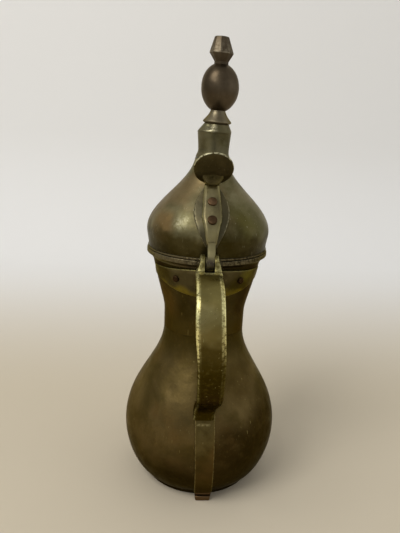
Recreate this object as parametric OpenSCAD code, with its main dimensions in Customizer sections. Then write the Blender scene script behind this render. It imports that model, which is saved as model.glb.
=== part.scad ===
// Dallah coffee pot: a waisted brass pot with a hinged domed lid, a tall finial,
// a strap handle riveted to the neck and a crescent beak spout.
// Millimetres, +Z up, origin at the centre of the flat base. The handle is
// towards -Y, the spout towards +Y, and the hinge pin lies along X.

/* [Body] */
// Radius of the base plate and of the body's lowest edge
base_r = 46.5; // [44:0.5:49]
// Thickness of the base plate
base_t = 2.5; // [1.5:0.5:4]
// Largest outer radius of the belly
belly_r = 65.7; // [62:0.5:70]
// Height of the belly's widest point
belly_z = 48; // [42:1:54]
// Outer radius at the waist
waist_r = 33.8; // [30:0.2:38]
// Height of the waist
waist_z = 136; // [130:1:142]
// Outer radius of the neck's top edge
mouth_r = 44.6; // [43.5:0.1:45.5]
// Height of the neck's top edge
mouth_z = 196; // [194:0.5:200]
// Thickness of the body's sheet metal
wall_t = 2; // [1.4:0.1:2.6]
// Height of the brazed seam between belly and neck
seam_z = 136; // [128:1:144]
// Depth of the neck's lap inside the belly at the seam
lap_h = 5; // [3:0.5:7]

/* [Rim] */
// Outer radius of the rim ring
rim_r = 49.4; // [48.6:0.2:51]
// Height of the rim ring
rim_h = 7.6; // [6.5:0.1:9]
// Height of the rim ring's upright face
rim_face_h = 3.6; // [2.5:0.1:4.5]

/* [Lid] */
// Radius of the dome's lower edge
dome_foot_r = 48.2; // [46.5:0.1:49.2]
// Largest outer radius of the dome
dome_r = 49.9; // [48:0.2:51]
// Height of the dome's widest point above its lower edge
dome_bulge_h = 13.5; // [10:0.5:16]
// Height of the dome above its lower edge
dome_h = 70.5; // [66:0.5:74]
// Outer radius of the dome's top edge
dome_top_r = 12.7; // [12:0.1:13.4]
// Thickness of the dome's sheet metal
dome_t = 1.8; // [1.2:0.1:2.4]
// Outer radius of the lid's flange
flange_r = 48.8; // [48:0.1:49.2]
// Thickness of the lid's flange
flange_t = 1.6; // [1:0.1:2.4]
// Outer radius of the collar that locates the lid in the neck
sleeve_r = 41; // [38:0.2:41.4]
// Depth of the locating collar below the flange
sleeve_h = 8; // [5:0.5:11]
// Thickness of the locating collar
sleeve_t = 1.6; // [1:0.1:2.4]

/* [Spire] */
// Angle that the tower and finial lean from upright
lean_deg = 3; // [0:0.5:4]
// Outer radius of the tower at its foot
tower_r = 12.5; // [11.8:0.1:13]
// Outer radius of the tower at its shoulder
shoulder_r = 13.5; // [12.8:0.1:14.2]
// Height of the tower above the dome
tower_h = 20; // [16:0.5:24]
// Thickness of the tower's wall
tower_t = 1.8; // [1.2:0.1:2.4]
// Radius of the flat on top of the tower's cap
cap_top_r = 9.9; // [9:0.1:10.6]
// Height of the tower's cap
cap_h = 6.6; // [5:0.2:8]
// Radius of the finial collar's lower edge
collar_r = 11.2; // [10:0.2:12]
// Height of the finial collar
collar_h = 9.6; // [8:0.2:11]
// Largest radius of the finial ball
ball_r = 14.8; // [12:0.5:17]
// Height of the finial ball
ball_h = 34.4; // [30:0.2:38]
// Radius where the ball meets the pieces above and below it
ball_neck_r = 5.4; // [4.6:0.2:6]
// Largest radius of the finial's tip
tip_r = 9.4; // [8:0.2:11]
// Height of the tip's waist-to-widest part
tip_low_h = 7.7; // [6:0.1:9]
// Height of the tip's upper cone
tip_cone_h = 11.9; // [9:0.2:14]
// Radius of the flat on the tip
tip_top_r = 5.6; // [4:0.1:6.2]
// Radius of the spindle that holds the finial together
spindle_r = 2.5; // [2:0.1:3]

/* [Hinge] */
// Distance of the hinge pin from the pot's axis
hinge_reach = 57.4; // [57.2:0.1:59]
// Radius of the hinge pin
pin_r = 2; // [1.6:0.1:2.4]
// Radius of the clevis ears
ear_r = 7.4; // [6.8:0.1:7.6]
// Width across the clevis
clevis_w = 18.8; // [17:0.2:20.4]
// Width of the hinge strap's tongue in the clevis
tongue_w = 6; // [5:0.1:7]
// Side clearance of the tongue in the clevis
tongue_gap = 0.4; // [0.2:0.1:0.6]
// Radius of the knuckle round the pin
knuckle_r = 6.2; // [5.6:0.1:6.4]
// Thickness of the leaf-shaped plate on the dome
leaf_t = 1.4; // [1:0.1:2]
// Half width of the leaf-shaped plate
leaf_half_w = 13.5; // [11:0.5:15]
// Thickness of the hinge strap
strap_t = 3; // [2.4:0.1:3.6]
// Half width of the hinge strap at its rivets
strap_half_w = 7; // [6:0.1:8]
// Height on the dome of the middle of the strap's rivets
slope_rise = 36.3; // [34:0.1:38]
// Length of the leaf-shaped plate below that middle
leaf_low = 29; // [25:0.5:30]
// Length of the leaf-shaped plate above that middle
leaf_high = 20.6; // [18:0.2:22]
// Distance of the strap's rivets below the middle of its slope
strap_rivet_low = 3.9; // [3:0.1:4.4]
// Radius of the strap's rivet heads
strap_rivet_r = 3.6; // [3:0.1:4]
// Distance between the strap's two rivets
strap_rivet_gap = 14.6; // [12:0.2:17]
// Radius of the thumb rest's disc
thumb_r = 15; // [13:0.5:16.5]
// Distance of the thumb rest's disc from the pot's axis
thumb_reach = 36.8; // [35:0.2:39]
// Height of the thumb rest's disc over the dome's foot
thumb_rise = 65.3; // [62:0.2:69]
// Depth of the thumb rest's dish
thumb_dish = 3.2; // [2:0.2:4]

/* [Handle] */
// Reach of the handle's bow from the pot's axis, to its centre line
bow_reach = 108.3; // [104:0.5:114]
// Height of the handle's furthest point
bow_z = 172; // [166:1:176]
// Width of the handle at its bow
bow_w = 20.4; // [20:0.1:23]
// Distance the handle's bow stands to one side
bow_side = 2; // [0:0.1:3]
// Width of the handle's lower end and the top of its tail
tail_w = 16.6; // [15:0.2:18]
// Thickness of the handle strap
handle_t = 6.8; // [6:0.2:8]
// Width of the bevels along the handle's outer edges
bevel_w = 2.6; // [1.5:0.1:3.5]
// Depth of those bevels
bevel_d = 1.5; // [0.8:0.1:2]
// Height at which the handle meets its tail strap
tail_top_z = 83; // [79:1:86]
// Thickness of the tail strap
tail_t = 4; // [3:0.2:5]
// Width of the tail strap at the base
tail_foot_w = 14.7; // [13:0.1:16]
// Distance by which the handle's lower half stands to one side of the hinge
tail_side = 2.4; // [0:0.2:4]
// Distance of the handle's lower end from the belly, to its centre line
tail_lift = 5.9; // [5:0.1:9]
// Height of the folded foot under the tail strap
foot_h = 9.6; // [7:0.2:11]
// Distance the folded foot stands out from the base's edge
foot_out = 9.3; // [8:0.1:11.5]
// Thickness of the winged bracket on the neck
bracket_t = 1.6; // [1.2:0.1:2.2]
// Height of the winged bracket at its middle
bracket_h = 24; // [20:0.5:27]
// Half width of the bracket from wing tip to wing tip
bracket_wing_w = 42.4; // [38:0.2:43.4]
// Height of the wing tips over the bracket's lower edge
bracket_rise = 10.5; // [8:0.5:13]
// Drop of the wing tips under the bracket's upper edge
bracket_drop = 4.5; // [2:0.5:7]
// Drop of the bracket's rivets under the rim's lower edge
bracket_rivet_drop = 10.5; // [8:0.5:13]
// Angle of the bracket's rivets either side of the handle
bracket_rivet_deg = 35; // [30:1:42]
// Radius of the bracket's rivet heads
bracket_rivet_r = 2.7; // [2:0.1:3.2]

/* [Spout] */
// Reach of the beak's tip from the pot's axis
beak_reach = 112; // [100:1:120]
// Height of the beak's tip
beak_z = 238; // [225:1:245]
// Half width of the beak where it leaves the neck
beak_half_w = 20; // [16:0.5:22]
// Half width of the beak's tip
beak_tip_half_w = 4; // [3.4:0.2:5]
// Thickness of the beak's sheet metal
beak_t = 2; // [1.6:0.1:2.4]
// Height on the neck where the beak's keel begins
beak_root_z = 126; // [120:1:130]
// Radius of the strainer holes behind the beak
strainer_r = 2; // [1.4:0.1:2.6]
// Spacing of the strainer holes
strainer_gap = 9; // [7:0.5:10]

/* [Hidden] */

$fn = 64;
// Clearances: brazed lap, brazed root of the beak, hinge pin in the ears, tongue
// on the pin, rivet and spindle in their holes, and the closed lid above the rim
lap_gap = 0.1;
braze_gap = 0.08;
ear_gap = 0.02;
pin_gap = 0.08;
shank_gap = 0.1;
lid_gap = 0.15;
// Overrun of a cutting tool past the face that it leaves
cut = 1;

rim_z = mouth_z + rim_h;
flange_z = rim_z + lid_gap;
dome_z = flange_z + flange_t;
dome_top_z = dome_z + dome_h;
hinge_z = rim_z - 0.1;
shoulder_z = dome_top_z + tower_h;
cap_top_z = shoulder_z + cap_h;
ball_z = cap_top_z + collar_h;
tip_z = ball_z + ball_h;
shank_r = bracket_rivet_r * 0.6;
strap_shank_r = strap_rivet_r * 0.45;
// Height about which the tower and finial lean
lean_z = dome_top_z - 26;

// ---- curves ----

function bez(p, t) = pow(1 - t, 3) * p[0] + 3 * pow(1 - t, 2) * t * p[1]
    + 3 * (1 - t) * t * t * p[2] + pow(t, 3) * p[3];
function bez_dir(p, t) = pow(1 - t, 2) * (p[1] - p[0])
    + 2 * (1 - t) * t * (p[2] - p[1]) + t * t * (p[3] - p[2]);
// A point of curve p moved out along its normal
function bez_out(p, t, out) = let (d = bez_dir(p, t)) bez(p, t) + out * [d[1], -d[0]] / norm(d);
function bez_line(p, steps, out = 0, first = 0) = [for (i = [first:steps]) bez_out(p, i / steps, out)];
function reversed(list) = [for (i = [len(list) - 1:-1:0]) list[i]];
// The outline whose right half, from x = 0 to x = 0, is given
function both_halves(half) = concat(half, [for (p = reversed(half)) if (p[0] > 0) [-p[0], p[1]]]);

// Outer profile of the body as [radius, height]
belly_low = [[base_r, base_t], [base_r + 12.5, base_t + 7.5], [belly_r, belly_z - 16], [belly_r, belly_z]];
belly_high = [[belly_r, belly_z], [belly_r, belly_z + 38], [waist_r, waist_z - 30], [waist_r, waist_z]];
neck_line = [[waist_r, waist_z], [waist_r, waist_z + 26], [mouth_r - 11.2, mouth_z - 47.8], [mouth_r, mouth_z]];
function body_line(out) = concat(bez_line(belly_low, 7, out), bez_line(belly_high, 14, out, 1),
    bez_line(neck_line, 10, out, 1));

// Outer profile of the dome as [radius, height]
dome_low = [[dome_foot_r, dome_z], [dome_foot_r, dome_z + 4],
    [dome_r, dome_z + dome_bulge_h - 4], [dome_r, dome_z + dome_bulge_h]];
dome_high = [[dome_r, dome_z + dome_bulge_h], [dome_r, dome_z + dome_bulge_h + 20.4],
    [dome_top_r + 2.9, dome_top_z - 19.8], [dome_top_r, dome_top_z]];
function dome_line(out) = concat(bez_line(dome_low, 4, out), bez_line(dome_high, 14, out, 1));

// A solid inside the given profile, from the axis outwards
module turned(line) {
    top = line[len(line) - 1];
    rotate_extrude() polygon(concat([[0, line[0][1]]], line, [[0, top[1]]]));
}

// The sheet between two offsets of a profile, cut flat at two heights
module turned_sheet(outer, inner, low_z, high_z) {
    intersection() {
        rotate_extrude() polygon(concat(outer, reversed(inner)));
        translate([0, 0, low_z]) cylinder(h = high_z - low_z, r = 2 * belly_r);
    }
}

// A profile in [distance from the axis, height] on the handle's side, w wide
module side_plate(w) {
    rotate([90, 0, -90]) linear_extrude(w, center = true) children();
}

// The skin of a row of rings with equal numbers of points. Each end is one flat
// face, or, for a trough, a strip of faces between its outer and inner lines
module loft(rings, trough = false) {
    n = len(rings[0]);
    last = len(rings) - 1;
    end = trough ? [for (j = [0:n / 2 - 2]) [j, j + 1, n - 2 - j, n - 1 - j]] : [[for (j = [0:n - 1]) j]];
    polyhedron(
        points = [for (ring = rings) each ring],
        faces = concat(
            [for (face = end) reversed(face)],
            [for (i = [0:last - 1], j = [0:n - 1])
                [i * n + j, i * n + (j + 1) % n, (i + 1) * n + (j + 1) % n, (i + 1) * n + j]],
            [for (face = end) [for (j = face) last * n + j]]));
}

// ---- body ----

module base_plate() color([0.32, 0.27, 0.16]) {
    upstand_r = base_r - wall_t - 1.5;
    difference() {
        union() {
            cylinder(h = base_t, r = base_r);
            cylinder(h = base_t + 4, r = upstand_r);
        }
        translate([0, 0, base_t]) cylinder(h = 4 + cut, r = upstand_r - wall_t);
    }
}

module belly_shell() color([0.33, 0.28, 0.16]) {
    seam_in_r = waist_r - wall_t;
    difference() {
        turned_sheet(body_line(0), body_line(-wall_t), base_t, seam_z);
        translate([0, 0, seam_z - lap_h]) cylinder(h = lap_h + cut, r = seam_in_r);
    }
}

module neck_shell() color([0.26, 0.22, 0.12]) {
    seam_in_r = waist_r - wall_t;
    lap_r = seam_in_r - lap_gap;
    difference() {
        union() {
            turned_sheet(body_line(0), body_line(-wall_t), seam_z, mouth_z);
            translate([0, 0, seam_z - lap_h + lap_gap]) cylinder(h = lap_h, r = lap_r);
            translate([0, 0, seam_z]) cylinder(h = 1.5, r = seam_in_r + 0.4);
        }
        translate([0, 0, seam_z - lap_h - cut]) cylinder(h = lap_h + 2 * cut + 2, r = lap_r - 1.4);
        strainer_holes();
        bracket_rivet_holes();
    }
}

// Drilled rows through the neck's wall, inside the root of the beak
module strainer_holes() {
    for (row = [0:2], side = [-1:1])
        translate([side * strainer_gap, 0, 150 + row * strainer_gap])
            rotate([-90, 0, 0]) cylinder(h = mouth_r, r = strainer_r);
}

module rim_ring() color([0.36, 0.33, 0.27]) {
    inner_r = mouth_r - wall_t;
    under = [[mouth_r + 0.6, mouth_z], [mouth_r + 1, mouth_z + 2.2], [rim_r - 1.6, mouth_z + 2.6],
        [rim_r, rim_z - rim_face_h]];
    rotate_extrude() polygon(concat([[inner_r, mouth_z]], bez_line(under, 5),
        [[rim_r, rim_z - 0.8], [rim_r - 0.8, rim_z], [inner_r, rim_z]]));
}

// ---- spout ----

beak_keel = [[waist_r - 6, beak_root_z], [waist_r + 28, beak_root_z + 2],
    [beak_reach - 18, beak_z - 66], [beak_reach, beak_z - 3]];
beak_edge = [[waist_r - 2, mouth_z - 3], [waist_r + 32, mouth_z - 2],
    [beak_reach - 24, beak_z - 22], [beak_reach - 2, beak_z]];

// The body's outer radius for each height
body_table = [for (p = body_line(0)) [p[1], p[0]]];

// A point of the open trough at station t and angle a round it, set in by skin
function trough_point(t, a, skin) = let (
        keel = bez(beak_keel, t), edge = bez(beak_edge, t),
        half_w = beak_half_w + (beak_tip_half_w - beak_half_w) * pow(t, 0.8) - skin,
        down = (keel - edge) * (1 - skin / norm(keel - edge)))
    [half_w * cos(a), edge[0] + down[0] * sin(a), edge[1] + down[1] * sin(a)];
function clear_of_body(p) = norm([p[0], p[1]]) - lookup(p[2], body_table) > braze_gap;
// The station at which a line along the trough leaves the body, by halving
function leave_t(a, skin, low = 0, high = 0.45, turns = 16) = turns == 0 ? high
    : let (mid = (low + high) / 2) clear_of_body(trough_point(mid, a, skin))
        ? leave_t(a, skin, low, mid, turns - 1) : leave_t(a, skin, mid, high, turns - 1);

module spout() color([0.36, 0.31, 0.18]) {
    stations = 12;
    sides = 10;
    round_out = [for (k = [0:sides]) [180 - k * 180 / sides, 0]];
    round_in = [for (k = [0:sides]) [k * 180 / sides, beak_t]];
    lines = [for (q = concat(round_out, round_in)) [q[0], q[1], leave_t(q[0], q[1])]];
    loft([for (i = [0:stations]) [for (q = lines)
        trough_point(q[2] + (1 - q[2]) * i / stations, q[0], q[1])]], trough = true);
}

// ---- bracket and handle ----

module neck_bracket() color([0.46, 0.42, 0.18]) {
    top_z = mouth_z - 0.4;
    low_z = top_z - bracket_h;
    w = bracket_wing_w;
    wing_low = [[0, low_z], [0.52 * w, low_z], [0.71 * w, low_z + 0.57 * bracket_rise], [w, low_z + bracket_rise]];
    wing_top = [[w, top_z - bracket_drop], [0.71 * w, top_z - 0.44 * bracket_drop], [0.42 * w, top_z], [0, top_z]];
    wing = concat(bez_line(wing_low, 8), bez_line(wing_top, 5));
    difference() {
        intersection() {
            turned_sheet(body_line(bracket_t), body_line(0), low_z - 2, top_z);
            translate([0, -8, 0]) rotate([90, 0, 0]) linear_extrude(60) polygon(both_halves(wing));
        }
        bracket_rivet_holes();
    }
}

// Places its children on the two rivet lines, +Z pointing away from the pot
module on_bracket() {
    for (side = [-1, 1])
        rotate([0, 0, side * bracket_rivet_deg]) translate([0, 0, mouth_z - bracket_rivet_drop])
            rotate([90, 0, 0]) children();
}

module bracket_rivet_holes() on_bracket() cylinder(h = 2 * mouth_r, r = shank_r + shank_gap, $fn = 32);

module bracket_rivets() color([0.22, 0.15, 0.1]) {
    seat_r = 0.85 * mouth_r;
    head_h = 0.157 * mouth_r;
    difference() {
        on_bracket() translate([0, 0, seat_r]) {
            cylinder(h = head_h, r = bracket_rivet_r, $fn = 32);
            translate([0, 0, head_h]) cylinder(h = 0.8, r1 = bracket_rivet_r, r2 = bracket_rivet_r - 0.9, $fn = 32);
        }
        turned(body_line(bracket_t));
    }
    on_bracket() translate([0, 0, seat_r + 1.2]) cylinder(h = head_h - 1, r = shank_r, $fn = 32);
}

// Reach of the handle's lower end from the pot's axis
tail_reach = lookup(tail_top_z, body_table) + tail_lift;
// Centre line of the handle as [distance from the axis, height]
handle_top = [[hinge_reach + 1.5, mouth_z + 0.4], [hinge_reach + 26, mouth_z + 3.6],
    [bow_reach - 2.5, bow_z + 24], [bow_reach, bow_z]];
handle_mid = [[bow_reach, bow_z], [bow_reach + 2, bow_z - 17],
    [bow_reach - 10, bow_z - 45], [bow_reach - 24, bow_z - 63]];
handle_low = [[bow_reach - 24, bow_z - 63], [bow_reach - 32, bow_z - 73],
    [tail_reach + 4, tail_top_z + 16], [tail_reach, tail_top_z - 2]];

// Sideways shift of the handle at a height: none at its bow, all of it where it meets its tail
function side_shift(z) = let (k = max(0, min(1, (bow_z - z) / (bow_z - tail_top_z))))
    tail_side * k * k * (3 - 2 * k);
function ease(x) = let (k = max(0, min(1, x))) k * k * (3 - 2 * k);
// Sideways shift of the handle's bow: none at the hinge and none at the lower end
function bow_shift(at) = -bow_side * ease((at[0] / hinge_reach - 1) * 2.3) * ease((at[1] / bow_z - 0.81) * 3.8);

// Bevelled cross-section of the strap where it passes curve p at t
function strap_ring(p, t, w, thick) = let (
        at = bez(p, t), d = bez_dir(p, t) / norm(bez_dir(p, t)),
        out = [-d[1], d[0]], h = w / 2, o = thick / 2)
    [for (q = [[-h + bevel_w, o], [h - bevel_w, o], [h, o - bevel_d], [h, 1 - o], [h - 1, -o],
            [1 - h, -o], [-h, 1 - o], [-h, o - bevel_d]])
        [q[0] + side_shift(at[1]) + bow_shift(at), -at[0] - out[0] * q[1], at[1] + out[1] * q[1]]];
function strap_rings(p, steps, w1, w2, first = 0) = [for (i = [first:steps]) let (t = i / steps)
    strap_ring(p, t, w1 + (w2 - w1) * t, handle_t)];

module handle() color([0.5, 0.47, 0.25]) {
    slot_w = tongue_w + 2 * tongue_gap;
    ear_in = hinge_reach - ear_r;
    ear_out = hinge_reach + ear_r;
    slot_floor_z = hinge_z - knuckle_r - 1.3;
    low_w = tail_w + 0.77 * (bow_w - tail_w);
    difference() {
        union() {
            loft(concat(strap_rings(handle_top, 11, clevis_w - 0.2, bow_w),
                strap_rings(handle_mid, 8, bow_w, low_w, 1),
                strap_rings(handle_low, 6, low_w, tail_w, 1)));
            side_plate(clevis_w) {
                translate([hinge_reach, hinge_z]) circle(ear_r);
                polygon([[ear_in, hinge_z], [ear_in, mouth_z - 0.5], [mouth_r - 4, mouth_z - 0.5],
                    [mouth_r - 4, mouth_z - 14], [mouth_r + 3, mouth_z - 15],
                    [ear_in + 9, mouth_z - 5], [ear_out, mouth_z - 2.6], [ear_out, hinge_z]]);
            }
        }
        translate([-slot_w / 2, -ear_out - 1.2, slot_floor_z])
            cube([slot_w, 2 * ear_r + 2.2, 4 * ear_r]);
        translate([0, -hinge_reach, hinge_z]) rotate([0, 90, 0])
            cylinder(h = clevis_w + 2 * cut, r = pin_r + ear_gap, center = true);
        intersection() {
            turned(body_line(bracket_t));
            translate([-50, -100, seam_z]) cube(100);
        }
        intersection() {
            turned(body_line(tail_t));
            translate([-50, -100, 0]) cube([100, 100, seam_z]);
        }
        tail_rivet_line() cylinder(h = 40, r = shank_r, $fn = 32, center = true);
    }
}

module hinge_pin() color([0.4, 0.36, 0.22]) {
    head_t = 1.2;
    translate([0, -hinge_reach, hinge_z]) rotate([0, 90, 0]) {
        cylinder(h = clevis_w, r = pin_r, center = true);
        for (side = [0, 1]) mirror([0, 0, side]) translate([0, 0, clevis_w / 2]) {
            cylinder(h = head_t / 2, r = pin_r + 1.2);
            translate([0, 0, head_t / 2]) cylinder(h = head_t / 2, r1 = pin_r + 1.2, r2 = pin_r);
        }
    }
}

module handle_tail() color([0.38, 0.34, 0.2]) {
    top_z = tail_top_z + 7;
    difference() {
        intersection() {
            turned_sheet(body_line(tail_t), body_line(0), foot_h, top_z);
            translate([tail_side, 0, 0]) rotate([90, 0, 0]) linear_extrude(2 * belly_r)
                polygon([[-tail_foot_w / 2, 0], [tail_foot_w / 2, 0], [tail_w / 2, top_z], [-tail_w / 2, top_z]]);
        }
        tail_rivet_line() cylinder(h = 40, r = shank_r, $fn = 32, center = true);
    }
}

// The line of the rivet that joins the handle to its tail, +Z outwards
module tail_rivet_line() {
    translate([tail_side, -tail_reach, tail_top_z + 2]) rotate([90, 0, 0]) children();
}

module tail_rivet() color([0.35, 0.24, 0.16]) {
    difference() {
        tail_rivet_line() translate([0, 0, -tail_lift]) cylinder(h = tail_lift, r = shank_r, $fn = 32);
        turned(body_line(0));
    }
}

module tail_foot() color([0.33, 0.24, 0.15]) {
    layer = 0.44 * foot_h;
    root = base_r - 1;
    foot_reach = base_r + foot_out;
    difference() {
        translate([tail_side, 0, 0]) side_plate(tail_foot_w - 1) difference() {
            translate([root, 0]) square([foot_reach - root, foot_h]);
            translate([root + 0.6 * foot_out, layer]) square([foot_reach - root, foot_h - 2 * layer]);
        }
        cylinder(h = base_t, r = base_r);
        turned(body_line(0));
    }
}

// ---- lid ----

module lid_dome() color([0.4, 0.37, 0.28]) {
    difference() {
        turned_sheet(dome_line(0), dome_line(-dome_t), dome_z, dome_top_z);
        strap_rivet_holes();
    }
}

module lid_flange() color([0.38, 0.34, 0.27]) {
    translate([0, 0, flange_z]) difference() {
        cylinder(h = flange_t, r = flange_r);
        translate([0, 0, -cut]) cylinder(h = flange_t + 2 * cut, r = sleeve_r - sleeve_t);
    }
}

module lid_sleeve() color([0.42, 0.38, 0.26]) {
    translate([0, 0, flange_z - sleeve_h]) difference() {
        cylinder(h = sleeve_h, r = sleeve_r);
        translate([0, 0, -cut]) cylinder(h = sleeve_h + 2 * cut, r = sleeve_r - sleeve_t);
    }
}

// Leans the tower and finial over towards +X
module leaned() {
    translate([0, 0, lean_z]) rotate([0, lean_deg, 0]) translate([0, 0, -lean_z]) children();
}

// A turned piece round the leaning axis, bored for the spindle
module finial_piece(line) {
    leaned() difference() {
        turned(line);
        translate([0, 0, line[0][1] - cut]) cylinder(h = 2 * ball_h, r = spindle_r + shank_gap);
    }
}

module lid_tower() color([0.28, 0.27, 0.18]) {
    foot_z = dome_top_z - 3;
    outer = [[tower_r + 2.2, foot_z], [tower_r + 1.8, dome_top_z], [tower_r, dome_top_z + 4],
        [tower_r, dome_top_z + 7], [shoulder_r, shoulder_z]];
    inner = [[tower_r - tower_t, foot_z], [tower_r - tower_t, dome_top_z + 7], [shoulder_r - tower_t, shoulder_z]];
    intersection() {
        leaned() rotate_extrude() polygon(concat(outer, reversed(inner)));
        translate([0, 0, dome_top_z]) cylinder(h = 2 * tower_h, r = 2 * tower_r);
    }
}

module tower_cap() color([0.3, 0.28, 0.2]) {
    spigot_r = shoulder_r - tower_t - 0.2;
    finial_piece([[spigot_r, shoulder_z - 2], [spigot_r, shoulder_z], [shoulder_r, shoulder_z],
        [shoulder_r - 0.6, shoulder_z + 1.6], [cap_top_r, cap_top_z]]);
}

module finial_collar() color([0.36, 0.31, 0.24]) {
    flare = [[collar_r, cap_top_z + 2], [collar_r - 1, cap_top_z + 4.4],
        [ball_neck_r + 1, cap_top_z + 5], [ball_neck_r + 0.5, ball_z]];
    finial_piece(concat([[cap_top_r - 0.4, cap_top_z], [collar_r, cap_top_z + 0.8]], bez_line(flare, 6)));
}

module finial_ball() color([0.34, 0.28, 0.21]) {
    low = asin(ball_neck_r / ball_r);
    half_h = ball_h / 2 / cos(low);
    finial_piece([for (i = [0:20]) let (a = low + i * (180 - 2 * low) / 20)
        [ball_r * sin(a), ball_z + ball_h / 2 - half_h * cos(a)]]);
}

module finial_tip() color([0.36, 0.31, 0.24]) {
    wide_z = tip_z + tip_low_h;
    top_z = wide_z + tip_cone_h;
    leaned() difference() {
        turned([[ball_neck_r - 0.6, tip_z], [tip_r, wide_z - 0.8], [tip_r, wide_z + 0.6],
            [tip_top_r, top_z - 0.5], [tip_top_r - 0.6, top_z]]);
        translate([0, 0, tip_z - cut]) cylinder(h = tip_low_h + cut, r = spindle_r + shank_gap);
    }
}

module finial_spindle() color([0.45, 0.42, 0.36]) {
    low_z = shoulder_z - 8;
    leaned() translate([0, 0, low_z]) cylinder(h = tip_z + tip_low_h - low_z, r = spindle_r);
}

module spindle_nut() color([0.45, 0.42, 0.3]) {
    nut_h = 4;
    leaned() translate([0, 0, shoulder_z - 2 - nut_h]) difference() {
        cylinder(h = nut_h, r = 2 * spindle_r, $fn = 6);
        translate([0, 0, -cut]) cylinder(h = nut_h + 2 * cut, r = spindle_r + shank_gap);
    }
}

// ---- hinge strap and thumb rest ----

// Middle of the strap on the dome, its slope, and its ends along that slope
slope_reach = 0.7766 * dome_r;
slope_cut = 0.5 * dome_r;
slope_z = dome_z + slope_rise;
slope_deg = 49;
strap_top = leaf_high + 1.4;
strap_low = 2 - leaf_low;

// Places its children on the dome's slope: +Y up the slope, +Z off the dome
module on_slope() {
    translate([0, -slope_reach, slope_z]) rotate([slope_deg, 0, 0]) children();
}

// A cover of the dome between two offsets, inside an outline on the slope
module slope_sheet(low_out, high_out) {
    intersection() {
        turned_sheet(dome_line(high_out), dome_line(low_out), dome_z, dome_top_z);
        on_slope() linear_extrude(slope_cut, center = true) children();
    }
}

module strap_rivet_holes() on_slope() for (side = [-0.5, 0.5])
    translate([0, side * strap_rivet_gap - strap_rivet_low, 0]) cylinder(h = slope_cut, r = strap_shank_r + shank_gap, $fn = 32, center = true);

module strap_plate() color([0.4, 0.37, 0.26]) {
    w = leaf_half_w;
    waist = -0.05 * leaf_low;
    lower = [[0, -leaf_low], [0.37 * w, -0.93 * leaf_low], [1.05 * w, -0.55 * leaf_low], [w, waist]];
    upper = [[w, waist], [0.97 * w, 0.45 * leaf_high], [0.7 * w, 0.7 * leaf_high], [0.42 * w, leaf_high]];
    half = concat(bez_line(lower, 7), bez_line(upper, 6, 0, 1), [[0, leaf_high]]);
    difference() {
        slope_sheet(0, leaf_t) polygon(both_halves(half));
        strap_rivet_holes();
    }
}

module hinge_strap() color([0.46, 0.43, 0.26]) {
    w = strap_half_w;
    side = [[tongue_w / 2, strap_low], [0.6 * w, 0.89 * strap_low], [0.77 * w, 0.59 * strap_low],
        [w, 0.35 * strap_low], [w, 0.15 * strap_low], [0.94 * w, 0.23 * strap_top],
        [0.83 * w, 0.55 * strap_top], [0.76 * w, 0.82 * strap_top], [0.8 * w, strap_top]];
    half = concat([[0, strap_low]], side, [[0, strap_top]]);
    under = bez(dome_high, 0.36) + [0.4, 0];
    difference() {
        union() {
            slope_sheet(leaf_t, leaf_t + strap_t) polygon(both_halves(half));
            side_plate(tongue_w) {
                translate([hinge_reach, hinge_z]) circle(knuckle_r);
                polygon([[hinge_reach + 4.4, hinge_z + 4.4], [dome_r + 6.4, dome_z + 9],
                    [dome_r + 4.2, dome_z + 17], under + [leaf_t + strap_t, 1.2], under + [leaf_t, -1.4],
                    [dome_r + 1.2, dome_z + 16], [dome_r + 1.2, dome_z + 6],
                    [hinge_reach - 6, hinge_z + 1.5]]);
            }
        }
        turned(dome_line(leaf_t));
        translate([0, -hinge_reach, hinge_z]) rotate([0, 90, 0])
            cylinder(h = clevis_w, r = pin_r + pin_gap, center = true);
        strap_rivet_holes();
    }
}

module strap_rivets() color([0.42, 0.27, 0.18]) {
    head = leaf_t + strap_t;
    difference() {
        on_slope() for (side = [-0.5, 0.5]) translate([0, side * strap_rivet_gap - strap_rivet_low, 0]) {
            cylinder(h = head + 0.5, r = strap_rivet_r, $fn = 32);
            translate([0, 0, head + 0.5]) cylinder(h = 0.7, r1 = strap_rivet_r, r2 = strap_rivet_r - 0.9, $fn = 32);
        }
        turned(dome_line(head));
    }
    on_slope() for (side = [-0.5, 0.5]) translate([0, side * strap_rivet_gap - strap_rivet_low, -3.2])
        cylinder(h = head + 3, r = strap_shank_r, $fn = 32);
}

// Height of the thumb rest's disc, and the tilt of its axis from upright
thumb_z = dome_z + thumb_rise;
thumb_tilt = 55;

module thumb_rest() color([0.3, 0.27, 0.16]) {
    d = thumb_dish;
    difference() {
        union() {
            translate([0, -thumb_reach, thumb_z]) rotate([-thumb_tilt, 0, 0]) rotate_extrude()
                polygon([[0, -d], [thumb_r * 0.4, -d + 0.3], [thumb_r * 0.75, -d * 0.55], [thumb_r - 0.6, -0.6],
                    [thumb_r, 0], [thumb_r, 1.2], [thumb_r - 1, 1.2], [thumb_r * 0.72, -0.2],
                    [thumb_r * 0.4, -d + 1.9], [0, -d + 1.6]]);
            hull() {
                on_slope() translate([-0.8 * strap_half_w, strap_top, leaf_t + 1])
                    cube([1.6 * strap_half_w, 0.5, strap_t - 1.6]);
                translate([0, -thumb_reach, thumb_z]) rotate([-thumb_tilt, 0, 0])
                    translate([0, thumb_r - 8.6, -d + 0.3]) cylinder(h = 1, r = 7, $fn = 32);
            }
        }
        turned(dome_line(0.4));
    }
}

base_plate();
belly_shell();
neck_shell();
rim_ring();
spout();
neck_bracket();
bracket_rivets();
handle();
hinge_pin();
handle_tail();
tail_rivet();
tail_foot();
lid_dome();
lid_flange();
lid_sleeve();
lid_tower();
tower_cap();
finial_collar();
finial_ball();
finial_tip();
finial_spindle();
spindle_nut();
hinge_strap();
strap_plate();
strap_rivets();
thumb_rest();
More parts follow.
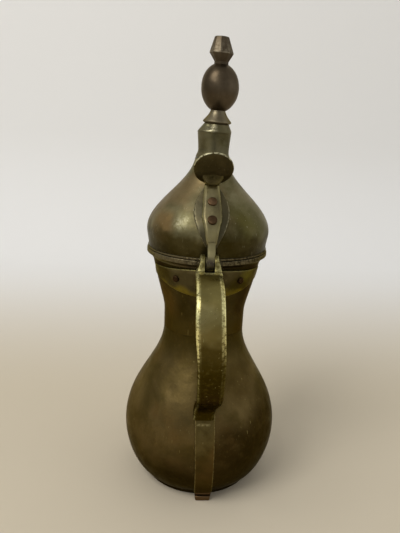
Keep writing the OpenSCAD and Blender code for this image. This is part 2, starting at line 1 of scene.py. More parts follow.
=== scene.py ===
"""Dallah coffee pot: the looks of an old brass pot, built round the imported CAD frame.

Lengths are in millimetres until a mesh or a material is made. The handle stands on the pot's -Y side.
"""

from math import asin, atan2, cos, exp, hypot, pi, radians, sin, sqrt

import bmesh
import bpy
import numpy as np
from mathutils import Matrix, Vector, noise


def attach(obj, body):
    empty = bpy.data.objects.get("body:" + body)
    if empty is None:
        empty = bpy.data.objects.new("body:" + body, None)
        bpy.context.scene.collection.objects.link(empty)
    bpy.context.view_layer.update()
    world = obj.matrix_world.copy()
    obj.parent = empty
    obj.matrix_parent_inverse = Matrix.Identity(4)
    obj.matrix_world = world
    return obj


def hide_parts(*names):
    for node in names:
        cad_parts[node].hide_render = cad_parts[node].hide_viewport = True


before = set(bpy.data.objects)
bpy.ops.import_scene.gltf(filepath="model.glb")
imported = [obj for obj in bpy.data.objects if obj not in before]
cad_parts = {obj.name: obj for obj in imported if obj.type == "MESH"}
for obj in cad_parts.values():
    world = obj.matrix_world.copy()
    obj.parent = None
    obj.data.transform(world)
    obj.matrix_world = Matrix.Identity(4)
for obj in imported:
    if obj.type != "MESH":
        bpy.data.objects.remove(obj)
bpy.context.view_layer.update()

MM = 0.001
SEGMENTS = 224
AXIS_R = 0.01  # radius at which the outline of a solid turned piece meets the axis

# ---- sizes shared with the CAD part ----

BASE_R, BASE_T = 46.5, 2.5
BELLY_R, BELLY_Z = 65.7, 48.0
WAIST_R, WAIST_Z = 33.8, 136.0
MOUTH_R, MOUTH_Z = 44.6, 196.0
WALL_T = 2.0
RIM_R, RIM_H, RIM_FACE_H = 49.4, 7.6, 3.6
RIM_Z = MOUTH_Z + RIM_H
DOME_FOOT_R, DOME_R, DOME_BULGE_H, DOME_H, DOME_TOP_R, DOME_T = 48.2, 49.9, 13.5, 70.5, 12.7, 1.8
FLANGE_R, FLANGE_T, LID_GAP = 48.8, 1.6, 0.15
FLANGE_Z = RIM_Z + LID_GAP
DOME_Z = FLANGE_Z + FLANGE_T
DOME_TOP_Z = DOME_Z + DOME_H
SLEEVE_R, SLEEVE_H, SLEEVE_T = 41.0, 8.0, 1.6
LEAN_DEG, LEAN_Z = 3.0, DOME_TOP_Z - 26
TOWER_R, SHOULDER_R, TOWER_H, TOWER_T = 12.5, 13.5, 20.0, 1.8
CAP_TOP_R, CAP_H, COLLAR_R, COLLAR_H = 9.9, 6.6, 11.2, 9.6
SHOULDER_Z = DOME_TOP_Z + TOWER_H
CAP_TOP_Z = SHOULDER_Z + CAP_H
BALL_R, BALL_H, BALL_NECK_R = 14.8, 34.4, 5.4
BALL_Z = CAP_TOP_Z + COLLAR_H
TIP_Z = BALL_Z + BALL_H
TIP_R, TIP_LOW_H, TIP_CONE_H, TIP_TOP_R = 9.4, 7.7, 11.9, 5.6
HINGE_REACH, HINGE_Z = 57.4, RIM_Z - 0.1
PIN_R, EAR_R, CLEVIS_W, KNUCKLE_R = 2.0, 7.4, 18.8, 6.2
TONGUE_W, TONGUE_GAP = 6.0, 0.4
LEAF_T, LEAF_HALF_W, STRAP_T, STRAP_HALF_W = 1.4, 13.5, 3.0, 7.0
STRAP_RIVET_R, STRAP_RIVET_GAP, STRAP_RIVET_LOW = 3.6, 14.6, 3.9
LEAF_LOW, LEAF_HIGH = 29.0, 20.6
SLOPE_REACH, SLOPE_Z, SLOPE_DEG = 38.75, DOME_Z + 36.3, 49.0
THUMB_R, THUMB_DISH, THUMB_REACH, THUMB_Z, THUMB_TILT = 15.0, 3.2, 36.8, DOME_Z + 65.3, 55.0
BOW_REACH, BOW_Z, BOW_W, BOW_SIDE, HANDLE_T = 108.3, 172.0, 20.4, 2.0, 6.8
BEVEL_W, BEVEL_D = 2.6, 1.5
TAIL_W, TAIL_TOP_Z, TAIL_T, TAIL_FOOT_W, TAIL_SIDE = 16.6, 83.0, 4.0, 14.7, 2.4
FOOT_H, FOOT_OUT = 9.6, 9.3
FOOT_REACH = BASE_R + FOOT_OUT
BRACKET_T, BRACKET_H, BRACKET_RIVET_DEG, BRACKET_RIVET_R = 1.6, 24.0, 35.0, 2.7
WING_HALF_W = 42.4
BEAK_REACH, BEAK_Z, BEAK_HALF_W, BEAK_TIP_HALF_W, BEAK_T, BEAK_ROOT_Z = 112.0, 238.0, 20.0, 4.0, 2.0, 126.0
STRAINER_R, STRAINER_GAP, STRAINER_Z = 2.0, 9.0, 150.0

# ---- sizes of the hand work alone ----

LUG_SIDE = -1.2  # how far the clevis and the strap's eye stand to one side
EAR_TAPER = 0.5  # how much of their thickness the clevis ears lose towards their tops
TAIL_LEAN = 1.7  # how far the tail's upper end leans to the other side

# ---- curves, each as the four points of a Bezier curve in (reach, height) ----

BELLY_LOW = [(BASE_R, BASE_T), (BASE_R + 12.5, BASE_T + 7.5), (BELLY_R, BELLY_Z - 16), (BELLY_R, BELLY_Z)]
BELLY_HIGH = [(BELLY_R, BELLY_Z), (BELLY_R, BELLY_Z + 38), (WAIST_R, WAIST_Z - 30), (WAIST_R, WAIST_Z)]
NECK_LINE = [
    (WAIST_R, WAIST_Z),
    (WAIST_R, WAIST_Z + 26),
    (MOUTH_R - 11.2, MOUTH_Z - 47.8),
    (MOUTH_R, MOUTH_Z),
]
DOME_LOW = [
    (DOME_FOOT_R, DOME_Z),
    (DOME_FOOT_R, DOME_Z + 4),
    (DOME_R, DOME_Z + DOME_BULGE_H - 4),
    (DOME_R, DOME_Z + DOME_BULGE_H),
]
DOME_HIGH = [
    (DOME_R, DOME_Z + DOME_BULGE_H),
    (DOME_R, DOME_Z + DOME_BULGE_H + 20.4),
    (DOME_TOP_R + 2.9, DOME_TOP_Z - 19.8),
    (DOME_TOP_R, DOME_TOP_Z),
]
BEAK_KEEL = [
    (WAIST_R - 6, BEAK_ROOT_Z),
    (WAIST_R + 28, BEAK_ROOT_Z + 2),
    (BEAK_REACH - 18, BEAK_Z - 66),
    (BEAK_REACH, BEAK_Z - 3),
]
BEAK_EDGE = [
    (WAIST_R - 2, MOUTH_Z - 3),
    (WAIST_R + 32, MOUTH_Z - 2),
    (BEAK_REACH - 24, BEAK_Z - 22),
    (BEAK_REACH - 2, BEAK_Z),
]
HANDLE_TOP = [
    (HINGE_REACH + 1.5, MOUTH_Z + 0.4),
    (HINGE_REACH + 26, MOUTH_Z + 3.6),
    (BOW_REACH - 2.5, BOW_Z + 24),
    (BOW_REACH, BOW_Z),
]
HANDLE_MID = [
    (BOW_REACH, BOW_Z),
    (BOW_REACH + 2, BOW_Z - 17),
    (BOW_REACH - 10, BOW_Z - 45),
    (BOW_REACH - 24, BOW_Z - 63),
]
HANDLE_LOW = [
    (BOW_REACH - 24, BOW_Z - 63),
    (BOW_REACH - 32, BOW_Z - 73),
    (HINGE_REACH + 9, TAIL_TOP_Z + 16),
    (HINGE_REACH + 5, TAIL_TOP_Z - 2),
]


def bez(p, t):
    p = np.asarray(p, float)
    return (1 - t) ** 3 * p[0] + 3 * (1 - t) ** 2 * t * p[1] + 3 * (1 - t) * t * t * p[2] + t**3 * p[3]


def bez_dir(p, t):
    p = np.asarray(p, float)
    d = (1 - t) ** 2 * (p[1] - p[0]) + 2 * (1 - t) * t * (p[2] - p[1]) + t * t * (p[3] - p[2])
    return d / np.linalg.norm(d)


def bez_line(p, steps, out=0.0, first=0):
    """Points of a curve, each moved out along its normal."""
    line = []
    for i in range(first, steps + 1):
        d = bez_dir(p, i / steps)
        line.append(bez(p, i / steps) + out * np.array([d[1], -d[0]]))
    return line


def body_line(steps):
    """The body's outline from base to mouth."""
    belly = bez_line(BELLY_LOW, steps // 2) + bez_line(BELLY_HIGH, steps, 0, 1)
    return belly + bez_line(NECK_LINE, steps, 0, 1)


def dome_line(out, steps):
    """The dome's outline from its foot to its top, moved out along its normal."""
    return bez_line(DOME_LOW, steps // 3, out) + bez_line(DOME_HIGH, steps, out, 1)


BODY_TABLE = np.array(body_line(80))
DOME_TABLE = np.array(dome_line(0, 80))


def row_at(x, xs, rows):
    """The row of numbers that rows have at x, where xs are their places."""
    return np.array([np.interp(x, xs, column) for column in rows.T])


def body_r(z):
    return float(np.interp(z, BODY_TABLE[:, 1], BODY_TABLE[:, 0]))


def dome_r(z):
    return float(np.interp(z, DOME_TABLE[:, 1], DOME_TABLE[:, 0]))


def crossing(outside, low, high, steps):
    """The number between low and high from which on outside holds."""
    for _ in range(steps):
        mid = (low + high) / 2
        low, high = (low, mid) if outside(mid) else (mid, high)
    return high


def directions(line):
    """The direction along a row of points at each of them."""
    line = np.asarray(line)
    ahead = np.vstack([line[1:], line[-1:]]) - np.vstack([line[:1], line[:-1]])
    return ahead / np.linalg.norm(ahead, axis=1)[:, None]


def smooth_line(points, steps):
    """A Catmull-Rom curve through rows of numbers, steps points to each stretch."""
    p = np.asarray(points, float)
    p = np.vstack([2 * p[0] - p[1], p, 2 * p[-1] - p[-2]])
    rows = []
    for i in range(1, len(p) - 2):
        a, b, c, d = p[i - 1 : i + 3]
        for k in range(steps):
            t = k / steps
            bend = (2 * a - 5 * b + 4 * c - d) * t**2 + (3 * b - a - 3 * c + d) * t**3
            rows.append(0.5 * (2 * b + (c - a) * t + bend))
    rows.append(p[-2])
    return np.array(rows)


def rounded(points, radius, steps=4, closed=True):
    """A polygon with its corners rounded off."""
    p = [np.asarray(q, float) for q in points]
    n = len(p)
    line = []
    for i, q in enumerate(p):
        if not closed and i in (0, n - 1):
            line.append(q)
            continue
        a, b = p[i - 1] - q, p[(i + 1) % n] - q
        la, lb = np.linalg.norm(a), np.linalg.norm(b)
        r = min(radius, 0.45 * la, 0.45 * lb)
        start, end = q + a / la * r, q + b / lb * r
        for k in range(steps + 1):
            t = k / steps
            line.append((1 - t) ** 2 * start + 2 * t * (1 - t) * q + t * t * end)
    return line


def ease(x):
    """A smooth step from 0 to 1."""
    k = max(0.0, min(1.0, x))
    return k * k * (3 - 2 * k)


def bell(distance, width):
    """1 at a place, falling smoothly to 0 at a few widths from it."""
    return exp(-((distance / width) ** 2))


def move(x, y, z):
    return Matrix.Translation((x, y, z))


def turn(degrees, axis):
    return Matrix.Rotation(radians(degrees), 4, axis)


# ---- mesh building: a shape is a list of points and a list of faces ----


def in_scene(name, data):
    """A new object in the scene."""
    o = bpy.data.objects.new(name, data)
    bpy.context.scene.collection.objects.link(o)
    return o


def piece(name, shape, body, finish, nodes=(), wear=None, sharp=40):
    """A mesh piece from a shape in millimetres, riding on a body, with a wear value for each point, which on
    some parts also marks painted highlights.
    """
    points, faces = shape
    material, slot = finish
    me = bpy.data.meshes.new(name)
    me.from_pydata([tuple(float(c) * MM for c in p) for p in points], [], faces)
    me.update()
    layer = me.attributes.new("wear", "FLOAT", "POINT")
    layer.data.foreach_set("value", np.zeros(len(me.vertices)) if wear is None else np.asarray(wear, float))
    bm = bmesh.new()
    bm.from_mesh(me)
    bmesh.ops.remove_doubles(bm, verts=bm.verts, dist=1e-7)
    bmesh.ops.recalc_face_normals(bm, faces=bm.faces)
    bm.to_mesh(me)
    bm.free()
    me.shade_smooth()
    me.set_sharp_from_angle(angle=radians(sharp))
    me.materials.append(material)
    o = in_scene(name, me)
    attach(o, body)
    if nodes:
        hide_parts(*nodes)
    return o


def loft(rings, closed=False):
    """A skin over rings of equal numbers of points, closed on itself or capped at both ends."""
    rows, n = len(rings), len(rings[0])
    points = [tuple(p) for ring in rings for p in ring]
    faces = []
    for i in range(rows if closed else rows - 1):
        a, b = i * n, (i + 1) % rows * n
        faces += [(a + j, a + (j + 1) % n, b + (j + 1) % n, b + j) for j in range(n)]
    if not closed:
        faces += [tuple(range(n))[::-1], tuple(range((rows - 1) * n, rows * n))]
    return points, faces


def lathe(profile, closed=True, segments=SEGMENTS):
    """A profile of (radius, height) turned round Z. An open profile starts and ends on the axis."""
    ring = [(cos(a), sin(a)) for a in np.linspace(0, 2 * pi, segments, endpoint=False)]
    return loft([[(r * c, r * s, z) for c, s in ring] for r, z in profile], closed)


def tube(outer_r, inner_r, low, high, radius, steps):
    """A turned ring of rectangular section with its corners rounded off."""
    corners = [(outer_r, low), (outer_r, high), (inner_r, high), (inner_r, low)]
    return lathe(rounded(corners, radius, steps))


EDGE_STEPS = np.array([0.0, 1 / 6, 0.5])


def spread(count, edge):
    """Values from 0 to 1 with closer steps near both ends, within edge of them."""
    ends = EDGE_STEPS * edge
    return np.concatenate([ends, np.linspace(edge, 1 - edge, count), 1 - ends[::-1]])


def slab(place, nu, nv, edge_u, edge_v, round_off):
    """A plate with rounded edges, and its wear. place(u, v, h) gives a point, h from its back to its face."""
    us, vs = spread(nu, edge_u), spread(nv, edge_v)

    def height(u, v):
        a = min(1.0, min(u, 1 - u) / edge_u)
        b = min(1.0, min(v, 1 - v) / edge_v)
        rise = sqrt(max(0.0, 1 - (1 - a) ** 2)) * sqrt(max(0.0, 1 - (1 - b) ** 2))
        return 1 - round_off + round_off * rise

    rows, cols = len(vs), len(us)
    points = [place(u, v, height(u, v)) for v in vs for u in us]
    points += [place(u, v, 0.0) for v in vs for u in us]
    back = rows * cols
    faces = []
    for i in range(rows - 1):
        for j in range(cols - 1):
            a = i * cols + j
            faces.append((a, a + 1, a + cols + 1, a + cols))
            faces.append((back + a, back + a + cols, back + a + cols + 1, back + a + 1))
    rim = list(range(cols)) + [i * cols + cols - 1 for i in range(1, rows)]
    rim += [(rows - 1) * cols + j for j in range(cols - 2, -1, -1)]
    rim += [i * cols for i in range(rows - 2, 0, -1)]
    for a, b in zip(rim, rim[1:] + rim[:1]):
        faces.append((a, back + a, back + b, b))
    wear = [1 - min(1.0, min(u, 1 - u) / edge_u, min(v, 1 - v) / edge_v) ** 2 for v in vs for u in us]
    return (points, faces), wear + [0.0] * back


def placed(shape, matrix):
    """A shape moved by a matrix."""
    return [tuple(matrix @ Vector(p)) for p in shape[0]], shape[1]


def together(shapes):
    """Several shapes as one."""
    points, faces = [], []
    for some_points, some_faces in shapes:
        start = len(points)
        points += some_points
        faces += [tuple(start + k for k in f) for f in some_faces]
    return points, faces


def on_back(x, reach, z):
    """A point at a distance from the axis on the handle's side, wrapped round the pot by x."""
    x = max(-0.999 * reach, min(0.999 * reach, x))
    return (x, -sqrt(reach * reach - x * x), z)


def distance(p, q):
    return (Vector(p) - Vector(q)).length


def wander(p, size, seed):
    """Smooth noise from -1 to 1 that changes over about size millimetres."""
    return noise.noise(Vector(p) / size + Vector((seed, 3.1 * seed, -1.7 * seed)))


def worked(o, depth, size, fine, fine_size, dents=(), seed=1.0):
    """Hand-worked metal: the surface sinks by up to depth over about size, and again by fine over fine_size.

    dents are (centre, radius, depth).
    """
    me = o.data
    normals = [v.normal.copy() for v in me.vertices]
    for v, n in zip(me.vertices, normals):
        p = v.co / MM
        sink = depth * (0.5 + 0.5 * wander(p, size, seed))
        sink += fine * (0.5 + 0.5 * wander(p, fine_size, seed + 5))
        for centre, radius, amount in dents:
            sink += amount * bell(distance(p, centre), radius)
        v.co -= n * sink * MM
    me.update()


# ---- materials ----


def srgb(colour):
    """A colour of 0 to 255 per channel as linear red, green, blue, alpha."""
    return tuple(((c / 255 + 0.055) / 1.055) ** 2.4 if c > 10 else c / 255 / 12.92 for c in colour) + (1.0,)


class Nodes:
    """Short calls for building a node material."""

    def __init__(self, name, shift=(0, 0, 0)):
        self.mat = bpy.data.materials.new(name)
        self.mat.use_nodes = True
        self.tree = self.mat.node_tree
        self.shader = self.tree.nodes["Principled BSDF"]
        self.coords = self.new("TexCoord").outputs["Object"]
        self.shift = shift

    def new(self, kind):
        return self.tree.nodes.new("ShaderNode" + kind)

    def link(self, value, socket):
        if isinstance(value, bpy.types.NodeSocket):
            self.tree.links.new(value, socket)
        elif value is not None:
            socket.default_value = value

    def fill(self, node, inputs, output):
        """Sets or links a node's inputs, and returns one of its outputs."""
        for key, value in inputs.items():
            self.link(value, node.inputs[key])
        return node.outputs[output]

    def noise(self, size, detail, rough, stretch=(1, 1, 1), turned=(0, 0, 0), warp=0.0, offset=None):
        """Noise that changes over about size metres, about 0.5 on average."""
        scale = [s / size for s in stretch]
        inputs = {"Vector": self.coords, "Scale": scale, "Rotation": turned, "Location": offset or self.shift}
        point = self.fill(self.new("Mapping"), inputs, "Vector")
        inputs = {"Vector": point, "Scale": 1.0, "Detail": detail, "Roughness": rough, "Distortion": warp}
        return self.fill(self.new("TexNoise"), inputs, "Fac")

    def ramp(self, value, low, high, out_low=0.0, out_high=1.0):
        """A smooth step between two values."""
        node = self.new("MapRange")
        node.interpolation_type = "SMOOTHSTEP"
        inputs = {"Value": value, "From Min": low, "From Max": high, "To Min": out_low, "To Max": out_high}
        return self.fill(node, inputs, "Result")

    def calc(self, kind, a, b):
        node = self.new("Math")
        node.operation = kind
        return self.fill(node, {0: a, 1: b}, 0)

    def times(self, a, b):
        return self.calc("MULTIPLY", a, b)

    def mix(self, factor, a, b):
        node = self.new("Mix")
        node.data_type = "RGBA"
        return self.fill(node, {"Factor": factor, 6: a, 7: b}, 2)

    def attribute(self, name):
        node = self.new("Attribute")
        node.attribute_name = name
        return node.outputs["Fac"]

    def near(self, centre, radius, fade=0.6):
        """1 near a point in millimetres, fading to 0 at the radius."""
        node = self.new("VectorMath")
        node.operation = "DISTANCE"
        far = self.fill(node, {0: self.coords, 1: [c * MM for c in centre]}, "Value")
        return self.ramp(far, radius * (1 - fade) * MM, radius * MM, 1.0, 0.0)

    def place(self, axis):
        """The place along X, Y or Z in metres."""
        return self.fill(self.new("SeparateXYZ"), {0: self.coords}, axis)

    def bump(self, value, strength, depth, normal=None):
        inputs = {"Strength": strength, "Distance": depth, "Height": value, "Normal": normal}
        return self.fill(self.new("Bump"), inputs, "Normal")


# The turn of each set of scratches, and how rare they are
SCRATCH_SETS = ((0.5, 0.755), (1.9, 0.77), (2.6, 0.76))
TINT, GLOSS = (0.6, 0.54, 0.34), (0.32, 0.52)


def patina(
    name, base, dark, warm, bright, seed, slot=None,
    spots=(), bands=(), tint=TINT, gloss=GLOSS, wear=1.0, flecks=0.15,
):
    """Old brass, as (material, slot): it drifts to dark and warm stains, with bright worn edges, and the wear
    value also carries painted highlights on some parts.

    spots are (centre, radius, colour, amount), and bands (start height, full height, colour, amount); on many
    parts these paint shade, highlights and reflections into the colour.
    gloss is the lowest and highest roughness. The slot has the material's name unless another is given.
    """
    n = Nodes(name, (seed, 2 * seed, -seed))
    base, dark, warm, bright = (srgb(c) for c in (base, dark, warm, bright))
    colour = n.mix(n.ramp(n.noise(0.028, 4, 0.6, warp=0.4), 0.38, 0.66), base, dark)
    warmth = n.ramp(n.noise(0.045, 3, 0.55, offset=(seed + 4, 0, 0)), 0.5, 0.68)
    colour = n.mix(n.times(warmth, 0.75), colour, warm)
    for centre, radius, tone, amount in spots:
        ragged = n.ramp(n.noise(0.012, 3, 0.6), 0.25, 0.6, 0.55, 1.0)
        colour = n.mix(n.times(n.times(n.near(centre, radius), ragged), amount), colour, srgb(tone))
    for start, full, tone, amount in bands:
        ragged = n.ramp(n.noise(0.02, 3, 0.6), 0.3, 0.7, -0.004, 0.004)
        height = n.calc("ADD", n.place("Z"), ragged)
        colour = n.mix(n.ramp(height, start * MM, full * MM, 0.0, amount), colour, srgb(tone))
    mottle = n.noise(0.0035, 4, 0.65)
    colour = n.mix(n.ramp(mottle, 0.5, 0.72, 0.0, 0.35), colour, dark)
    freckle = n.noise(0.0009, 2, 0.5)
    colour = n.mix(n.ramp(freckle, 0.67, 0.8, 0.0, flecks), colour, bright)
    scratch = 0.0
    for angle, cut in SCRATCH_SETS:
        lines = n.noise(0.0011, 1, 0.4, stretch=(1, 1, 0.05), turned=(angle, angle * 0.7, 0))
        scratch = n.calc("MAXIMUM", n.ramp(lines, cut, cut + 0.03), scratch)
    scuffed = n.ramp(n.noise(0.03, 2, 0.5, offset=(seed, -seed, 2.0)), 0.42, 0.62, 0.08, 1.0)
    colour = n.mix(n.times(n.times(scratch, scuffed), 0.4), colour, bright)
    # The wear value rubs edges bright; on some parts it also paints highlight lines and glints.
    rub = n.times(n.attribute("wear"), n.ramp(n.noise(0.0022, 4, 0.7), 0.36, 0.62))
    colour = n.mix(n.times(rub, wear), colour, bright)
    n.link(colour, n.shader.inputs["Base Color"])
    n.shader.inputs["Metallic"].default_value = 0.94
    n.shader.inputs["Specular Tint"].default_value = tint + (1,)
    n.link(n.ramp(n.noise(0.01, 4, 0.6), 0.3, 0.7, *gloss), n.shader.inputs["Roughness"])
    dings = n.bump(n.noise(0.006, 3, 0.5), 0.25, 0.0006)
    grain = n.calc("ADD", mottle, n.times(scratch, -0.6))
    n.link(n.bump(grain, 0.22, 0.0002, dings), n.shader.inputs["Normal"])
    return n.mat, slot or name


PALE = (176, 162, 104)
# A dark brown for painted shade on the pot's lower and right side
SHADE_DARK = (44, 32, 8)

# Painted light and shade: the dark spots on the right and low down and the lower band are painted shade,
# darker towards the right and bottom; the two spots at the front left, by the handle, darken a highlight,
# also painted shade; the pale spot on the left flank is a painted highlight.
body_metal = patina(
    "body_brass", (100, 84, 50), (80, 67, 34), (96, 75, 40), PALE, 0.3,
    spots=[
        ((50, -40, 22), 50, SHADE_DARK, 0.85),
        ((-22, -58, 12), 30, SHADE_DARK, 0.8),
        ((60, -26, 50), 52, (42, 30, 5), 0.95),
        ((30, -40, 104), 26, (66, 52, 20), 0.7),
        ((-16, -60, 88), 26, (80, 67, 38), 0.8),
        ((-20, -50, 106), 18, (76, 64, 36), 0.95),
        ((24, -58, 50), 30, (44, 33, 8), 0.85),
        ((-60, -20, 82), 22, (116, 98, 60), 0.6),
    ],
    bands=[(100, 136, (64, 53, 20), 1.0), (58, 18, (38, 27, 3), 0.9)],
    tint=(0.62, 0.58, 0.46),
)
# Painted light and shade: the pale spot on the left is painted light, the dark spot on the right painted
# shade, and the dark band at the top painted shadow under the rim.
neck_metal = patina(
    "neck_brass", (73, 63, 32), (53, 44, 15), (80, 70, 46), PALE, 1.1,
    spots=[((-36, -18, 160), 22, (92, 73, 38), 0.75), ((34, -22, 165), 24, (42, 31, 8), 0.7)],
    bands=[(158, 139, (70, 58, 24), 1.0), (186, 191, (40, 34, 12), 0.9)],
    tint=(0.5, 0.44, 0.27),
)
# Painted light and shade: the dark spots on the ring's right and front are painted shade, the pale spot on
# its left a painted highlight.
rim_metal = patina(
    "rim_brass", (74, 67, 50), (54, 46, 30), (86, 70, 48), (112, 102, 76), 2.2,
    spots=[
        ((46, -26, 202), 38, (30, 23, 8), 0.95),
        ((20, -46, 202), 20, (38, 30, 12), 0.8),
        ((-40, -28, 202), 30, (98, 92, 68), 0.8),
    ],
)
# Painted light and shade: the dark spots on the right wing are painted shade; the pale spot at its top and
# the pale band along the top edge are painted highlight.
bracket_metal = patina(
    "bracket_brass", (80, 72, 46), (58, 50, 26), (72, 62, 42), (150, 140, 80), 3.4,
    spots=[
        ((-20, -36, 174), 9, (108, 94, 30), 0.6),
        ((24, -34, 180), 14, (60, 52, 6), 0.8),
        ((25, -39, 183), 6, (48, 38, 16), 0.85),
        ((24, -32, 172), 8, (96, 79, 6), 0.85),
        ((30, -30, 192), 11, (104, 98, 44), 0.8),
    ],
    bands=[(181, 174, (118, 104, 34), 0.75), (189, 195, (104, 95, 66), 0.7)],
)
# Painted light and shade: the pale band at the top is a painted highlight on the upward-facing end, and the
# two lower bands are painted shade, darker towards the bottom.
handle_metal = patina(
    "handle_brass", (136, 126, 82), (112, 100, 56), (130, 114, 66), (240, 232, 168), 4.2,
    bands=[(186, 193, (116, 106, 62), 0.9), (171, 158, (70, 58, 18), 0.9), (153, 136, (54, 43, 4), 0.95)],
    tint=(0.5, 0.44, 0.2), gloss=(0.26, 0.45), wear=1.4, flecks=0.02,
)
# The pale spot is a painted highlight on the lug's top where it turns outwards.
lug_metal = patina(
    "lug_brass", (108, 101, 60), (80, 73, 40), (100, 90, 48), (214, 206, 148), 4.6, "handle_brass",
    spots=[((-1, -69, 201), 8, (146, 137, 86), 0.9)],
    gloss=(0.34, 0.52),
)
# The band is painted shade, darker towards the bottom.
tail_metal = patina(
    "tail_brass", (94, 81, 46), (68, 56, 24), (96, 74, 38), (150, 136, 92), 5.1,
    bands=[(50, 8, SHADE_DARK, 0.9)],
)
# Painted light and shade: the two bands are a painted reflection of the dark floor, darker on the dome's
# lower part; the dark spots on the right and below the strap are painted shade; the spots at the front left,
# by the leaf and up the strap, dim the highlight, also painted shade.
dome_metal = patina(
    "dome_brass", (122, 115, 84), (88, 81, 50), (114, 96, 64), (216, 210, 180), 6.3,
    spots=[
        ((-38, -30, 226), 18, (128, 101, 60), 0.75),
        ((32, -36, 232), 26, (82, 77, 36), 0.85),
        ((-15, -46, 235), 17, (70, 65, 45), 0.92),
        ((-12, -36, 251), 14, (84, 78, 54), 0.85),
        ((14, -47, 224), 17, (52, 45, 18), 0.85),
        ((-24, -43, 234), 13, (94, 90, 60), 0.7),
    ],
    bands=[(226, 216, (54, 46, 12), 0.85), (214, 206, (46, 38, 8), 0.85)],
    tint=(0.9, 0.88, 0.8), gloss=(0.34, 0.5),
)
tower_metal = patina(
    "tower_brass", (104, 100, 76), (78, 73, 46), (106, 96, 70), (206, 198, 168), 7.4,
    spots=[((0, -14, 286), 9, (122, 116, 88), 0.7)],
    tint=(0.85, 0.82, 0.7), gloss=(0.36, 0.5),
)
finial_metal = patina(
    "finial_brass", (90, 79, 63), (70, 60, 46), (96, 80, 60), (170, 156, 130), 8.2,
    tint=(0.8, 0.75, 0.66), gloss=(0.3, 0.44),
)
tip_metal = patina(
    "tip_brass", (80, 70, 56), (62, 52, 38), (84, 72, 54), (150, 140, 118), 8.5, "finial_brass",
    tint=(0.8, 0.76, 0.68), gloss=(0.4, 0.52),
)
collar_metal = patina(
    "collar_brass", (120, 111, 90), (98, 89, 68), (116, 103, 80), (180, 168, 140), 8.7, "finial_brass",
    gloss=(0.36, 0.5),
)
# The spot is painted shade that dims a highlight on the leaf's left side.
leaf_metal = patina(
    "leaf_brass", (88, 83, 64), (70, 65, 46), (88, 80, 56), (160, 152, 120), 9.8, "strap_brass",
    spots=[((-9, -44, 242), 12, (68, 64, 48), 0.85)],
)
# Painted shade: the dark spot at the top darkens the strap into the shaded thumb rest, and the dark spot at
# the knuckle shades its lower side.
strap_metal = patina(
    "strap_brass", (150, 142, 108), (128, 120, 86), (140, 130, 84), (176, 170, 118), 9.3,
    spots=[
        ((0, -39, 270), 15, (48, 42, 22), 0.98),
        ((-1, -46, 242), 21, (92, 84, 60), 0.9),
        ((LUG_SIDE, -HINGE_REACH - 7, HINGE_Z - 2), 12, (56, 48, 42), 0.95),
    ],
)
copper_metal = patina("copper", (92, 72, 50), (66, 50, 34), (98, 76, 54), (140, 112, 84), 10.1)
dark_copper_metal = patina("dark_copper", (54, 38, 22), (38, 26, 12), (62, 44, 28), (104, 82, 58), 11.1)
# A lighter copy of the dark copper: painted light that brightens the foot, which stands in shade.
foot_brightened_copper = patina(
    "foot_copper", (98, 77, 52), (72, 55, 36), (100, 77, 52), (150, 120, 84), 11.6, "dark_copper"
)
thumb_metal = patina("thumb_brass", (74, 66, 42), (54, 47, 26), (76, 67, 44), (190, 184, 150), 12.4)
plain_metal = patina("plain_brass", (150, 132, 84), (110, 92, 52), (140, 110, 66), (200, 186, 140), 13.2)

# ---- body ----


def ring_dents(count, seed, z_low, z_high, depth):
    """Small dents at seeded places on the body."""
    rng = np.random.default_rng(seed)
    dents = []
    for _ in range(count):
        z = rng.uniform(z_low, z_high)
        a = rng.uniform(0, 2 * pi)
        centre = (body_r(z) * cos(a), body_r(z) * sin(a), z)
        dents.append((centre, rng.uniform(3, 7), rng.uniform(0.3, 1.0) * depth))
    return dents


def belly():
    outer = bez_line(BELLY_LOW, 26) + bez_line(BELLY_HIGH, 60, 0, 1)
    inner = bez_line(BELLY_LOW, 12, -WALL_T) + bez_line(BELLY_HIGH, 24, -WALL_T, 1)
    o = piece("belly", lathe(outer + inner[::-1]), "pot", body_metal, ["belly_shell"])
    worked(o, 0.35, 30, 0.07, 7, ring_dents(16, 3, 15, 110, 0.5), seed=1.3)


def base():
    """The disc under the pot, with a flange that stands inside the belly."""
    flange_out, flange_in, flange_top = BASE_R - 3.5, BASE_R - 5.5, BASE_T + 4
    outline = [(0, 0), (BASE_R, 0), (BASE_R, BASE_T), (flange_out, BASE_T), (flange_out, flange_top)]
    outline += [(flange_in, flange_top), (flange_in, BASE_T), (0, BASE_T)]
    profile = rounded(outline, 0.5, 3, closed=False)
    profile[0], profile[-1] = (AXIS_R, 0), (AXIS_R, BASE_T)
    piece("base_disc", lathe(profile, closed=False), "pot", body_metal, ["base_plate"])


def neck():
    outer = bez_line(NECK_LINE, 56)
    inner = bez_line(NECK_LINE, 28, -WALL_T)
    o = piece("neck", lathe(outer + inner[::-1]), "pot", neck_metal, ["neck_shell"])
    worked(o, 0.25, 24, 0.05, 6, seed=2.7)
    drill(o, [(i * STRAINER_GAP, STRAINER_Z + k * STRAINER_GAP) for k in range(3) for i in (-1, 0, 1)])


